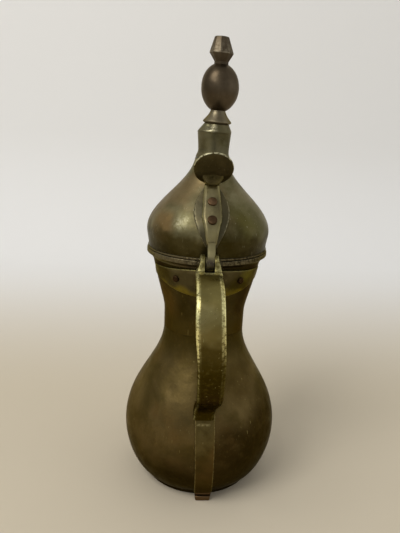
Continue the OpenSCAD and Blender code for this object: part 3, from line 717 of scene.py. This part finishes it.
def drill(o, places):
    """Cuts the strainer's round holes at places of (x, z), along +Y from the axis outwards."""
    bm = bmesh.new()
    r = STRAINER_R * MM
    for x, z in places:
        made = bmesh.ops.create_cone(bm, cap_ends=True, segments=24, radius1=r, radius2=r, depth=MOUTH_R * MM)
        along_y = move(x * MM, MOUTH_R / 2 * MM, z * MM) @ turn(90, "X")
        bmesh.ops.transform(bm, matrix=along_y, verts=made["verts"])
    me = bpy.data.meshes.new("drill")
    bm.to_mesh(me)
    bm.free()
    tool = in_scene("drill", me)
    cut = o.modifiers.new("drill", "BOOLEAN")
    cut.operation, cut.solver, cut.object = "DIFFERENCE", "EXACT", tool
    bpy.context.view_layer.update()
    result = bpy.data.meshes.new_from_object(o.evaluated_get(bpy.context.evaluated_depsgraph_get()))
    o.modifiers.clear()
    o.data = result
    bpy.data.objects.remove(tool)


def rim():
    inner = MOUTH_R - WALL_T
    start = (MOUTH_R + 0.6, MOUTH_Z)
    under = [start, (MOUTH_R + 1, MOUTH_Z + 2.2), (RIM_R - 1.6, MOUTH_Z + 2.6), (RIM_R, RIM_Z - RIM_FACE_H)]
    face = [(RIM_R, RIM_Z - RIM_FACE_H), (RIM_R, RIM_Z), (inner, RIM_Z), (inner, MOUTH_Z), start]
    points, faces = lathe(bez_line(under, 10) + rounded(face, 1.1, 5, closed=False)[1:-1])
    wear = [1.0 if hypot(p[0], p[1]) > RIM_R - 0.9 else 0.0 for p in points]
    o = piece("rim", (points, faces), "pot", rim_metal, ["rim_ring"], wear)
    worked(o, 0.3, 14, 0.12, 5, seed=3.9)


belly()
base()
neck()
rim()

# ---- spout ----


def trough(t, a, skin):
    """A point of the trough: t from root to tip, a from edge over keel to edge, skin in from the outside."""
    keel, edge = bez(BEAK_KEEL, t), bez(BEAK_EDGE, t)
    half_w = BEAK_HALF_W + (BEAK_TIP_HALF_W - BEAK_HALF_W) * t**0.8 - skin
    down = (keel - edge) * (1 - skin / np.linalg.norm(keel - edge))
    return np.array([half_w * cos(a), edge[0] + down[0] * sin(a), edge[1] + down[1] * sin(a)])


def leave_t(a, skin):
    """Where the trough leaves the body's skin."""

    def outside(t):
        p = trough(t, a, skin)
        return hypot(p[0], p[1]) > body_r(p[2]) - 0.25

    return crossing(outside, 0.0, 0.45, 18)


def beak():
    roots = {}

    def place(u, v, h):
        a, skin = pi * u, BEAK_T * (1 - h)
        key = (round(u, 5), round(skin, 4))
        if key not in roots:
            roots[key] = leave_t(a, skin)
        return trough(roots[key] + (1 - roots[key]) * v, a, skin)

    shape, wear = slab(place, 41, 60, 0.022, 0.012, 0.55)
    o = piece("beak", shape, "pot", body_metal, ["spout"], wear)
    worked(o, 0.12, 16, 0.05, 5, seed=4.4)
    root = [trough(leave_t(a, 0), a, 0) for a in np.linspace(0, pi, 41)]
    piece("beak_braze", bead(root, 0.9), "pot", body_metal)


def bead(line, radius):
    """A line of braze metal, uneven in thickness, along a row of points."""
    line = smooth_line(line, 3)
    rings = []
    for i, (p, d) in enumerate(zip(line, directions(line))):
        ahead = Vector(d)
        side = ahead.orthogonal().normalized()
        up = ahead.cross(side)
        ends = min(1.0, 0.25 + i / 4, 0.25 + (len(line) - 1 - i) / 4)
        r = radius * (0.8 + 0.35 * wander(p, 4, 6.1)) * ends
        angles = np.linspace(0, 2 * pi, 10, endpoint=False)
        rings.append([tuple(Vector(p) + side * r * cos(a) + up * r * sin(a)) for a in angles])
    return loft(rings)


beak()

# ---- bracket, handle and tail ----


def bracket():
    top = MOUTH_Z - 0.4
    low = top - BRACKET_H
    wing_low = np.array(bez_line([(0, low), (22, low - 0.5), (30, low + 6), (WING_HALF_W, low + 10.5)], 40))
    wing_top = np.array(bez_line([(WING_HALF_W, top - 4.5), (30, top - 2), (18, top), (0, top)], 40))[::-1]

    def place(u, v, h):
        x = (2 * u - 1) * (WING_HALF_W - 0.2)
        a = np.interp(abs(x), wing_low[:, 0], wing_low[:, 1])
        b = np.interp(abs(x), wing_top[:, 0], wing_top[:, 1])
        z = a + (b - a) * v
        thin = 1 - 0.55 * ease((abs(x) - 27) / 10)
        return on_back(x, body_r(z) - 0.2 + (BRACKET_T + 0.15) * h * thin, z)

    shape, wear = slab(place, 90, 26, 0.012, 0.045, 0.7)
    o = piece("bracket", shape, "pot", bracket_metal, ["neck_bracket"], wear)
    worked(o, 0.12, 12, 0.06, 4, seed=5.2)


def rivet_head(radius, height, seed, flat=0.55):
    """A hammered rivet head round Z, standing on z = 0."""
    profile = [(AXIS_R, height)]
    for a in np.linspace(0.1, pi / 2, 7):
        profile.append((radius * (flat + (1 - flat) * sin(a)), height * (0.25 + 0.75 * cos(a))))
    profile += [(radius, -1.5), (AXIS_R, -1.5)]
    points, faces = lathe(profile, closed=False, segments=40)
    moved = []
    for x, y, z in points:
        k = 1 + 0.07 * wander((x, y, z), radius, seed)
        drop = 0.12 * height * wander((x, y, z), radius * 0.7, seed + 3) if z > 0 else 0
        moved.append((x * k, y * k, z + drop))
    return moved, faces


def bracket_rivet_heads():
    heads = []
    z = MOUTH_Z - 10.5
    for side in (-1, 1):
        out = move(0, -body_r(z) - BRACKET_T, z) @ turn(90, "X")
        head = rivet_head(BRACKET_RIVET_R, 1.6, 2.0 + side)
        heads.append(placed(head, turn(side * BRACKET_RIVET_DEG, "Z") @ out))
    nodes = ["bracket_rivets"]
    piece("bracket_rivet_heads", together(heads), "pot", dark_copper_metal, nodes)


def strap_section(width, thick):
    """Rounded bevelled section of the handle as (across, out, wear). Its left edge has the most wear value:
    worn metal with a painted highlight along the left bevel.
    """
    side, face = width / 2, thick / 2
    corners = [(-side + BEVEL_W, face), (side - BEVEL_W, face), (side, face - BEVEL_D), (side, 1 - face)]
    corners += [(side - 1, -face), (1 - side, -face), (-side, 1 - face), (-side, face - BEVEL_D)]
    section = []
    line = rounded(corners, 0.7, 4)
    for i, q in enumerate(line):
        ahead = line[(i + 1) % len(line)]
        extra = int(np.linalg.norm(ahead - q) // 0.8)
        for k in range(extra + 1):
            p = q + (ahead - q) * k / (extra + 1)
            # The left side's higher values add a painted highlight to its worn bevel.
            if p[0] < 0:
                corner, edge_wear, ridge_wear, bevel_wear = (1.1, 1.0), 2.6, 0.3, 0.15
            else:
                corner, edge_wear, ridge_wear, bevel_wear = (0.5, BEVEL_D), 1.2, 0.7, 0.5
            edge = hypot(side - corner[0] - abs(p[0]), face - corner[1] - p[1])
            ridge = hypot(side - BEVEL_W - abs(p[0]), face - p[1])
            wear = max(edge_wear * bell(edge, 0.8), ridge_wear * bell(ridge, 0.5))
            if abs(p[0]) > side - BEVEL_W and p[1] > 0:
                wear = max(wear, bevel_wear)
            section.append((p[0], p[1], wear))
    return section


def low_shift(z):
    """How far the lower handle stands to one side at a height."""
    return TAIL_SIDE * ease((BOW_Z - z) / (BOW_Z - TAIL_TOP_Z)) - TAIL_LEAN * ease((101 - z) / 12)


def bow_shift(at):
    """How far the upper handle stands to the other side at a point of its centre line."""
    k = ease((at[0] / HINGE_REACH - 1) * 2.3)
    return LUG_SIDE * (1 - k) - BOW_SIDE * k * ease((at[1] / BOW_Z - 0.81) * 3.8)


def handle():
    low_w = TAIL_W + 0.77 * (BOW_W - TAIL_W)
    stations = []
    for curve, steps, w1, w2, first in (
        (HANDLE_TOP, 60, CLEVIS_W - 0.2, BOW_W, 9),
        (HANDLE_MID, 44, BOW_W, low_w, 1),
        (HANDLE_LOW, 24, low_w, TAIL_W, 1),
    ):
        for i in range(first, steps + 1):
            t = i / steps
            stations.append((bez(curve, t), bez_dir(curve, t), w1 + (w2 - w1) * t))
    section = strap_section(BOW_W, HANDLE_T)
    rings, wear = [], []
    for at, d, width in stations:
        ring = []
        for x, out, w in section:
            q = at + np.array([-d[1], d[0]]) * out
            ring.append((x * width / BOW_W + low_shift(at[1]) + bow_shift(at), -q[0], q[1]))
            worn = w * min(1.0, max(0.1, (at[1] - 146) / 20))
            # Near the lug the upper face gets a high wear value: a painted highlight on the face that turns
            # upwards.
            if at[1] > BOW_Z and out > 0:
                worn = max(worn, 1.5 * ease((76 - at[0]) / 5))
            wear.append(worn)
        rings.append(ring)
    o = piece("handle_strap", loft(rings), "pot", handle_metal, ["handle"], wear, sharp=50)
    worked(o, 0.25, 18, 0.08, 5, seed=6.6)


def clevis():
    """The cast lug at the top of the handle: two ears round the pin, over a root riveted to the neck."""
    slot, half = TONGUE_W / 2 + TONGUE_GAP, CLEVIS_W / 2
    ear_in, ear_out = HINGE_REACH - EAR_R, HINGE_REACH + EAR_R
    floor = HINGE_Z - KNUCKLE_R - 1.3
    end, middle = bez(HANDLE_TOP, 0.16)
    top, under = middle + HANDLE_T / 2, middle - HANDLE_T / 2
    foot = [(ear_in, HINGE_Z - 1), (ear_in, floor - 1), (end, under + 0.3), (end, top - 0.3)]
    foot += [(ear_out + 1.4, top - 0.1), (ear_out, HINGE_Z - 1)]
    ear = [(HINGE_REACH + EAR_R * cos(a), HINGE_Z + EAR_R * sin(a)) for a in np.linspace(0, pi, 22)]
    ear += rounded(foot, 0.4, 2, closed=False)[1:-1]
    root = [(ear_in, floor), (ear_in, MOUTH_Z - 0.5), (MOUTH_R - 4, MOUTH_Z - 0.5)]
    root += [(MOUTH_R - 4, MOUTH_Z - 14), (MOUTH_R + 3, MOUTH_Z - 15)]
    root += [(ear_in + 9, MOUTH_Z - 5), (ear_out, MOUTH_Z - 2.6)]
    root += [(end, under + 0.2), (end, top - 0.5), (end - 2.8, top - 0.8)]
    root += [(ear_out + 1.6, floor + 0.6), (ear_out + 0.6, floor)]
    plates = [soft_plate(ear, low, high, 0.7) for low, high in ((slot, half), (-half, -slot))]
    points, faces = together(plates + [soft_plate(rounded(root, 1.0, 3), -half, half, 0.55)])
    moved, wear = [], []
    for x, y, z in points:
        side = 1.1 * bell(half - abs(x), 0.7) if z > MOUTH_Z - 2 else 0.0
        # Beyond the ears the wear value is raised: a painted highlight on the lug's top where it turns from
        # up to out.
        step = 1.2 * ease((-y - ear_out - 0.5) / 2) if z > floor - 0.5 else 0.0
        wear.append(max(side, step, 0.1))
        high = ease((z - floor) / (HINGE_Z + EAR_R - floor))
        narrow = 1 - EAR_TAPER * max(0.0, abs(x) - slot) / half * high
        moved.append((x * narrow + LUG_SIDE, y, z))
    o = piece("clevis", (moved, faces), "pot", lug_metal, (), wear, sharp=35)
    worked(o, 0.12, 8, 0.08, 3, seed=7.1)


def soft_plate(outline, low, high, soft):
    """A plate in the handle's plane from x = low to x = high, with rounded edges."""
    line = np.array(outline, float)
    nxt, prv = np.roll(line, -1, 0), np.roll(line, 1, 0)
    tangent = (nxt - prv) / np.linalg.norm(nxt - prv, axis=1)[:, None]
    normal = np.stack([tangent[:, 1], -tangent[:, 0]], 1)
    if ((line - line.mean(0)) * normal).sum() < 0:
        normal = -normal
    turns = np.linspace(0, pi / 2, 4)
    rings = [(low + soft * (1 - cos(a)), soft * (1 - sin(a))) for a in turns]
    rings += [(high - soft * (1 - cos(a)), soft * (1 - sin(a))) for a in turns[::-1]]
    return loft([[(x, -reach, z) for reach, z in line - normal * inset] for x, inset in rings])


def pin():
    axle = move(0, -HINGE_REACH, HINGE_Z)
    half = CLEVIS_W / 2
    shapes = []
    for side in (-1, 1):
        head = rivet_head(PIN_R + 1.1, 1.1, 4.0 + side)
        outwards = move(LUG_SIDE + side * (half - 1.3), 0, 0) @ turn(side * 90, "Y")
        shapes.append(placed(head, axle @ outwards))
    shank = [(AXIS_R, 1 - half), (PIN_R, 1 - half), (PIN_R, half - 1), (AXIS_R, half - 1)]
    shapes.append(placed(lathe(shank, closed=False, segments=32), axle @ turn(90, "Y")))
    piece("pin", together(shapes), "pot", rim_metal, ["hinge_pin"])


def tail():
    low_z, high_z, glint_z = FOOT_H, TAIL_TOP_Z + 7, 75.6
    line = np.array([p for p in body_line(60) if low_z <= p[1] <= high_z])
    reach_and_ahead = np.column_stack([line[:, 0], directions(line)])

    def place(u, v, h):
        z = low_z + (high_z - low_z) * v
        reach, ahead_out, ahead_up = row_at(z, line[:, 1], reach_and_ahead)
        width = TAIL_FOOT_W + (TAIL_W - TAIL_FOOT_W) * v
        out = -0.2 + (TAIL_T + 0.1) * h
        x, y, z = on_back((u - 0.5) * width + TAIL_SIDE - TAIL_LEAN * v, reach, z)
        return (x, y - ahead_up * out, min(high_z, max(low_z, z - ahead_out * out)))

    shape, edge_wear = slab(place, 22, 110, 0.07, 0.012, 0.3)
    wear = []
    for p, w in zip(shape[0], edge_wear):
        # A thin pale line across the tail's face, a painted highlight on the edge below the handle's end.
        glint = 1.3 * bell(p[2] - glint_z, 0.6) if abs(p[0] + 0.6) < 5.5 else 0.0
        wear.append(max(0.9 * w, glint))
    nodes = ["handle_tail", "tail_rivet"]
    o = piece("tail_strap", shape, "pot", tail_metal, nodes, wear)
    worked(o, 0.15, 14, 0.06, 4, seed=8.8)


def foot():
    """The tail's foot: a strap folded back over itself, with a gap between its layers."""
    layer = 0.44 * FOOT_H
    root = BASE_R + 0.3
    half = (TAIL_FOOT_W - 1) / 2
    slot = root + 0.45 * FOOT_OUT
    outline = [(root, 0), (FOOT_REACH, 0), (FOOT_REACH, layer), (slot, layer), (slot, FOOT_H - layer)]
    outline += [(FOOT_REACH, FOOT_H - layer), (FOOT_REACH, FOOT_H), (root, FOOT_H)]
    points, faces = soft_plate(rounded(outline, 1.1, 4), TAIL_SIDE - half, TAIL_SIDE + half, 1.3)
    moved = []
    for x, y, z in points:
        lift = 0.8 * wander((x, y, z), 5, 3.3) * min(1.0, z / 2) if z > 0.3 else 0.0
        narrow = 1 - 0.13 * (1 - ease(z / FOOT_H * 1.6))
        moved.append((TAIL_SIDE + (x - TAIL_SIDE) * narrow, y + 0.5 * wander((x, y, z), 4, 8.1), z + lift))
    piece("foot_fold", (moved, faces), "pot", foot_brightened_copper, ["tail_foot"])


bracket()
bracket_rivet_heads()
handle()
clevis()
pin()
tail()
foot()

# ---- lid ----


def dome():
    points, faces = lathe(dome_line(0, 60) + dome_line(-DOME_T, 30)[::-1])
    # The two scuffs at the front left are painted glints, pale specks standing in for the broken-up
    # highlight; the others are worn scuffs.
    scuffs_and_glints = [((-25, -43, 232), 5.5, 0.4), ((-20, -43, 239), 3, 0.35), ((22, -36, 246), 4, 0.4)]
    scuffs_and_glints += [((38, 22, 232), 7, 0.6), ((-10, 46, 236), 6, 0.6)]
    wear = [max(amount * bell(distance(p, centre), r) for centre, r, amount in scuffs_and_glints) for p in points]
    o = piece("dome", (points, faces), "lid", dome_metal, ["lid_dome"], wear)
    dents = [((-34, -34, 226), 5, 0.5), ((-30, -33, 233), 4, 0.4), ((38, 10, 231), 7, 0.5)]
    dents += [((20, -37, 240), 5, 0.35), ((15, 40, 228), 6, 0.5), ((-40, 18, 222), 6, 0.4)]
    dents += [((-12, -12, 262), 5, 0.3)]
    worked(o, 0.3, 26, 0.1, 8, dents, seed=9.2)


def flange():
    points, faces = tube(FLANGE_R, SLEEVE_R - SLEEVE_T, FLANGE_Z, DOME_Z, 0.5, 4)
    wear = [1.0 if hypot(p[0], p[1]) > FLANGE_R - 0.6 else 0.0 for p in points]
    o = piece("flange", (points, faces), "lid", rim_metal, ["lid_flange"], wear)
    worked(o, 0.2, 16, 0.08, 5, seed=10.4)


def sleeve():
    shape = tube(SLEEVE_R, SLEEVE_R - SLEEVE_T, FLANGE_Z - SLEEVE_H, FLANGE_Z, 0.5, 3)
    piece("sleeve", shape, "lid", rim_metal, ["lid_sleeve"])


LEAN = move(0, 0, LEAN_Z) @ turn(LEAN_DEG, "Y") @ move(0, 0, -LEAN_Z)
TIP_WIDE_Z = TIP_Z + TIP_LOW_H
TIP_TOP_Z = TIP_WIDE_Z + TIP_CONE_H
# How far the spire's pieces stand to one side, as (height, side)
SWAY = [(SHOULDER_Z - 14, 0.0), (SHOULDER_Z, -0.8), (CAP_TOP_Z + 0.5, 0.6), (BALL_Z + BALL_H / 2, 0.35)]
SWAY = np.array(SWAY + [(TIP_Z, -0.4), (TIP_WIDE_Z, -1.0), (TIP_TOP_Z, -1.9)])


def spire(shape):
    """A shape of the spire as it sits: swaying a little off the axis of the piece below, and leaning."""
    points = [tuple(LEAN @ Vector((x + float(np.interp(z, *SWAY.T)), y, z))) for x, y, z in shape[0]]
    return points, shape[1]


def turned_piece(name, outline, radius, finish, node, seed, dents=(), depth=0.1, rub=None, facets=0):
    """A solid piece of the spire, turned from an outline of (radius, height) with its corners rounded."""
    line = [(AXIS_R, outline[0][1])] + outline + [(AXIS_R, outline[-1][1])]
    points, faces = lathe(rounded(line, radius, 4, closed=False), closed=False, segments=120)
    if facets:
        points = [faceted(p, facets) for p in points]
    wear = [rub(p) for p in points] if rub else None
    o = piece(name, spire((points, faces)), "lid", finish, [node], wear)
    worked(o, depth, 9, 0.05, 3, dents, seed=seed)


def faceted(p, count):
    """Pulls a point of a turned piece a little towards a many-sided outline."""
    step = 2 * pi / count
    off = (atan2(p[1], p[0]) + step / 2) % step - step / 2
    k = 1 + 0.8 * (cos(step / 2) / cos(off) - 1)
    return (p[0] * k, p[1] * k, p[2])


def tower():
    foot_z = DOME_TOP_Z - 0.2
    outer = [(TOWER_R + 1.6, foot_z), (TOWER_R + 0.9, DOME_TOP_Z + 2), (TOWER_R, DOME_TOP_Z + 4.5)]
    outer += [(TOWER_R, DOME_TOP_Z + 9), (SHOULDER_R, SHOULDER_Z)]
    inner = [(SHOULDER_R - TOWER_T, SHOULDER_Z), (TOWER_R - TOWER_T, foot_z)]
    shape = lathe([tuple(p) for p in smooth_line(outer, 8)] + inner, segments=120)
    o = piece("tower", spire(shape), "lid", tower_metal, ["lid_tower"])
    worked(o, 0.35, 14, 0.08, 4, [((9, -9, 290), 4, 0.5), ((-9, -9, 284), 5, 0.4)], seed=11.7)


def cap():
    outline = [(SHOULDER_R - 1, SHOULDER_Z - 1), (SHOULDER_R, SHOULDER_Z)]
    outline += [(SHOULDER_R - 0.3, SHOULDER_Z + 1.4), (CAP_TOP_R + 0.6, CAP_TOP_Z - 1.2)]
    outline.append((CAP_TOP_R, CAP_TOP_Z))
    lip = (-3.5, -11.2, SHOULDER_Z + 1.5)
    dents = [((-4, -9, SHOULDER_Z + 5), 3.2, 1.1), ((8, -8, SHOULDER_Z + 3), 3, 0.7)]
    dents += [((-11, 2, SHOULDER_Z + 2), 3, 0.6), ((7, 9, SHOULDER_Z + 4), 4, 0.7)]

    def rub(p):
        return bell(distance(p, lip), 3.6)

    turned_piece("cap", outline, 0.7, tower_metal, "tower_cap", 12.1, dents, 0.3, rub)


def collar():
    flare = [(COLLAR_R, CAP_TOP_Z + 1.8), (COLLAR_R - 2, CAP_TOP_Z + 4.2)]
    flare += [(BALL_NECK_R + 1.6, CAP_TOP_Z + 6.4), (BALL_NECK_R + 0.5, BALL_Z)]
    outline = [(CAP_TOP_R - 0.9, CAP_TOP_Z - 0.9), (CAP_TOP_R - 0.2, CAP_TOP_Z + 0.1)]
    outline += [(COLLAR_R, CAP_TOP_Z + 0.8)] + bez_line(flare, 14) + [(BALL_NECK_R + 0.3, BALL_Z + 0.9)]
    turned_piece("collar", outline, 0.5, collar_metal, "finial_collar", 13.3)


def ball():
    low = asin(BALL_NECK_R / BALL_R)
    half_h = BALL_H / 2 / cos(low)
    angles = np.linspace(low, pi - low, 40)
    outline = [(BALL_R * sin(a), BALL_Z + BALL_H / 2 - half_h * cos(a)) for a in angles]
    dents = [((5, -12, 336), 5, 0.4), ((-9, -7, 322), 4, 0.35), ((12, 4, 330), 5, 0.4)]
    dents += [((-3, 13, 334), 5, 0.4)]
    turned_piece("ball", outline, 0.3, finial_metal, "finial_ball", 14.6, dents, 0.25)


def tip():
    root_r = BALL_NECK_R + 0.2
    outline = [(root_r, TIP_Z - 0.9), (root_r, TIP_Z + 1.6), (TIP_R, TIP_WIDE_Z - 0.3)]
    outline += [(TIP_R, TIP_WIDE_Z + 0.3), (TIP_TOP_R, TIP_TOP_Z - 0.4), (TIP_TOP_R - 0.8, TIP_TOP_Z)]

    def rub(p):
        return 0.8 * bell(p[2] - TIP_WIDE_Z - 0.2, 0.45)

    turned_piece("tip", outline, 0.3, tip_metal, "finial_tip", 15.8, (), 0.12, rub, facets=9)


dome()
flange()
sleeve()
tower()
cap()
collar()
ball()
tip()
for node_name in ("finial_spindle", "spindle_nut"):
    cad_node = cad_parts[node_name]
    cad_node.data.materials.clear()
    cad_node.data.materials.append(plain_metal[0])

# ---- hinge strap and thumb rest ----


def slope_line(v):
    """(reach, height) of the dome's surface at distance v up the slope from the strap's middle."""
    a = radians(SLOPE_DEG)
    start = np.array([SLOPE_REACH - v * cos(a), SLOPE_Z + v * sin(a)])
    normal = np.array([sin(a), cos(a)])

    def outside(out):
        q = start + normal * out
        return q[0] > dome_r(q[1])

    return start + normal * crossing(outside, -12.0, 12.0, 24)


SLOPE_VS = np.linspace(-33, 26, 60)
SLOPE_LINE = np.array([slope_line(v) for v in SLOPE_VS])
SLOPE_AHEAD = directions(SLOPE_LINE)


def on_slope(v, out):
    """(reach, height) at a distance out from the dome's surface, and the direction outwards."""
    ahead = row_at(v, SLOPE_VS, SLOPE_AHEAD)
    normal = np.array([ahead[1], -ahead[0]])
    return row_at(v, SLOPE_VS, SLOPE_LINE) + normal * out, normal


def on_dome(x, v, out):
    """A point over the dome behind the tower: x across, v up the slope, out from its surface."""
    (reach, z), _ = on_slope(v, out)
    return on_back(x, max(1.0, reach), z)


# Half width of the leaf-shaped plate at places up the slope
LEAF_HALF = [(-LEAF_LOW, 1.5), (-27, 4.6), (-20, 9.4), (-12, 12.4), (-6, 13.6), (-1, LEAF_HALF_W), (6, 12.2)]
LEAF = smooth_line(LEAF_HALF + [(12, 9.6), (17, 7), (LEAF_HIGH, 4.6)], 8)


def leaf():
    def place(u, v, h):
        s = LEAF[0, 0] + (LEAF[-1, 0] - LEAF[0, 0]) * v
        half = np.interp(s, LEAF[:, 0], LEAF[:, 1])
        return on_dome((2 * u - 1) * half, s, -0.25 + (LEAF_T + 0.2) * h)

    shape, wear = slab(place, 34, 60, 0.05, 0.02, 0.6)
    wear = [0.8 * w for w in wear]
    o = piece("leaf", shape, "lid", leaf_metal, ["strap_plate"], wear)
    worked(o, 0.25, 7, 0.08, 3, seed=16.2)


# Half width of the strap at places up the slope, from the tongue to the thumb rest
STRAP_HALF = [(-27, 3.2), (-24, 4.2), (-16, 6.0), (-9.5, STRAP_HALF_W + 0.5), (-4, STRAP_HALF_W + 0.4)]
STRAP = smooth_line(STRAP_HALF + [(5, 6.8), (12, 6.3), (16, 5.9), (19.5, 5.6)], 5)
# The tongue's centre line from the knuckle up to the dome, in (reach, height)
TONGUE_RISE = [(58.9, 208.4), (56.2, 212.4), (54.6, 216.0), (53.8, 219.0)]
# The strap's end under the thumb rest: (distance up the rest, half width, distance behind it)
STRAP_END = [(-12.0, 5.8, 2.3), (-9.0, 7.0, 2.4), (-5.0, 9.0, 1.9), (-1.0, 9.6, 1.3), (2.0, 8.4, 0.4)]
THUMB_ALONG = np.array([cos(radians(THUMB_TILT)), sin(radians(THUMB_TILT))])
THUMB_BACK = np.array([THUMB_ALONG[1], -THUMB_ALONG[0]])


def strap_path():
    """Rows of (reach, height, direction out in both, half width) from under the pin to the strap's top."""
    rows = []
    middle = KNUCKLE_R - STRAP_T / 2
    for a in np.linspace(radians(-60), radians(52), 14):
        out = (cos(a), sin(a))
        rows.append((HINGE_REACH + middle * out[0], HINGE_Z + middle * out[1], *out, TONGUE_W / 2))
    rise = smooth_line(TONGUE_RISE, 6)[1:]
    for q, d in zip(rise, directions(rise)):
        rows.append((*q, d[1], -d[0], TONGUE_W / 2))
    for s, half in STRAP[3:]:
        q, normal = on_slope(s, LEAF_T + STRAP_T / 2)
        rows.append((*q, *normal, half))
    for s, half, out in STRAP_END:
        q = np.array([THUMB_REACH, THUMB_Z]) + THUMB_ALONG * s + THUMB_BACK * out
        rows.append((*q, *THUMB_BACK, half))
    return smooth_line(rows, 3)


def strap():
    path = strap_path()
    last = len(path) - 1

    def place(u, v, h):
        reach, z, out_reach, out_z, half = row_at(v * last, range(last + 1), path)
        x = (2 * u - 1) * half + LUG_SIDE * (1 - ease((v * last - 10) / 40))
        bevel = max(0.0, (abs(2 * u - 1) * half - (half - 1.9)) / 1.9) * 0.9 if half > 3.6 else 0.0
        out = (h - 0.5) * STRAP_T - (bevel if h > 0.3 else 0.0)
        return on_back(x, reach + out_reach * out, z + out_z * out)

    shape, wear = slab(place, 22, 130, 0.06, 0.008, 0.4)
    o = piece("strap", shape, "lid", strap_metal, ["hinge_strap"], wear)
    worked(o, 0.12, 8, 0.06, 3, seed=17.3)
    eye_r, half = KNUCKLE_R - 0.8, TONGUE_W / 2 - 0.1
    eye = rounded([(AXIS_R, -half), (eye_r, -half), (eye_r, half), (AXIS_R, half)], 0.5, 3, closed=False)
    shape = lathe(eye, closed=False, segments=48)
    on_pin = move(LUG_SIDE, -HINGE_REACH, HINGE_Z) @ turn(90, "Y")
    piece("strap_eye", placed(shape, on_pin), "lid", strap_metal)


def strap_rivet_heads():
    heads = []
    for side in (-1, 1):
        place = on_dome(0, side * STRAP_RIVET_GAP / 2 - STRAP_RIVET_LOW, LEAF_T + STRAP_T)
        head = rivet_head(STRAP_RIVET_R, 1.1, 6.0 + side, 0.75)
        heads.append(placed(head, move(*place) @ turn(SLOPE_DEG, "X")))
    piece("strap_rivet_heads", together(heads), "lid", copper_metal, ["strap_rivets"])


def thumb():
    """The spoon-shaped rest: a dished disc with a rolled rim, seen from behind."""
    d = THUMB_DISH
    near, far = 0.4 * THUMB_R, 0.75 * THUMB_R
    front = [(AXIS_R, -d + 1.5), (near, -d + 1.8), (far, -d * 0.62 + 1.7), (THUMB_R - 1.2, 0.9)]
    edge = [(THUMB_R - 0.2, 0.9), (THUMB_R, 0.35), (THUMB_R - 0.1, -0.4), (THUMB_R - 0.9, -1.1)]
    back = [(far, -d * 0.62), (near, -d + 0.2), (AXIS_R, -d)]
    outline = np.vstack([smooth_line(line, steps) for line, steps in ((front, 6), (edge, 3), (back, 6))])
    points, faces = lathe(outline, closed=False, segments=96)
    wear = [(1.3 if p[1] < 0 else 0.5) if hypot(p[0], p[1]) > THUMB_R - 0.6 else 0.0 for p in points]
    tilted = placed((points, faces), move(0, -THUMB_REACH, THUMB_Z) @ turn(-THUMB_TILT, "X"))
    o = piece("thumb", tilted, "lid", thumb_metal, ["thumb_rest"], wear)
    worked(o, 0.15, 9, 0.05, 3, seed=18.9)


leaf()
strap()
strap_rivet_heads()
thumb()

# ---- stage, light and camera, in metres ----


def stage_material():
    """A warm pale floor that turns into a paler wall behind."""
    n = Nodes("floor")
    colour = n.mix(n.ramp(n.place("Y"), 0.1, 0.7), srgb((199, 188, 167)), srgb((236, 235, 233)))
    n.link(colour, n.shader.inputs["Base Color"])
    n.shader.inputs["Roughness"].default_value = 0.9
    n.shader.inputs["Specular IOR Level"].default_value = 0.2
    return n.mat


def stage():
    """A plain pale floor, a hair under the pot, that curves up into a plain pale wall."""
    front_y, wall_y, bend_r, half_w, top = -1.3, 0.9, 0.26, 2.6, 1.9
    line = [(front_y, 0.0), (wall_y - bend_r, 0.0)]
    for a in np.linspace(0.1, pi / 2, 14):
        line.append((wall_y - bend_r + bend_r * sin(a), bend_r - bend_r * cos(a)))
    line.append((wall_y, top))
    points = [(x, y, z - 0.02 * MM) for y, z in line for x in (-half_w, half_w)]
    faces = [(2 * i, 2 * i + 1, 2 * i + 3, 2 * i + 2) for i in range(len(line) - 1)]
    me = bpy.data.meshes.new("floor")
    me.from_pydata(points, [], faces)
    me.shade_smooth()
    me.materials.append(stage_material())
    in_scene("floor", me)


def area_light(name, place, aim, size, watts, colour=(1, 1, 1)):
    data = bpy.data.lights.new(name, "AREA")
    data.shape = "RECTANGLE"
    data.size, data.size_y = size
    data.energy = watts
    data.color = colour
    o = in_scene(name, data)
    o.location = Vector(place)
    o.rotation_euler = (Vector(aim) - Vector(place)).to_track_quat("-Z", "Y").to_euler()


stage()
area_light("key", (-0.9, -0.8, 1.5), (0, 0, 0.2), (0.9, 0.9), 19, (1.0, 0.985, 0.96))
area_light("fill", (1.5, -0.3, 0.9), (0, 0, 0.2), (1.6, 1.6), 2.8, (0.97, 0.98, 1.0))
area_light("back", (0.2, 1.2, 1.5), (0, 0.3, 0.3), (1.8, 1.0), 9)

world = bpy.data.worlds.new("studio")
bpy.context.scene.world = world
world.use_nodes = True
world.node_tree.nodes["Background"].inputs["Color"].default_value = (0.9, 0.9, 0.885, 1)
world.node_tree.nodes["Background"].inputs["Strength"].default_value = 0.55

# The eye's distance behind the pot's axis, its height and its side step
EYE_BACK, EYE_HEIGHT, EYE_SIDE = 0.4448, 0.3071, -0.0050
# How far the camera looks down, rolls, and stands turned round the pot, in degrees
PITCH, ROLL, TURN = 15.23, 2.5, -3.0
FOCAL_PX, LONG_SIDE_PX = 550.0, 533.0
SENSOR_MM = 36.0

camera_data = bpy.data.cameras.new("camera")
camera_data.sensor_width = SENSOR_MM
camera_data.lens = SENSOR_MM * FOCAL_PX / LONG_SIDE_PX
camera = in_scene("camera", camera_data)
eye = turn(TURN, "Z") @ move(EYE_SIDE, -EYE_BACK, EYE_HEIGHT)
camera.matrix_world = eye @ turn(90 - PITCH, "X") @ turn(ROLL, "Z")
bpy.context.scene.camera = camera
bpy.context.scene.view_settings.view_transform = "Standard"
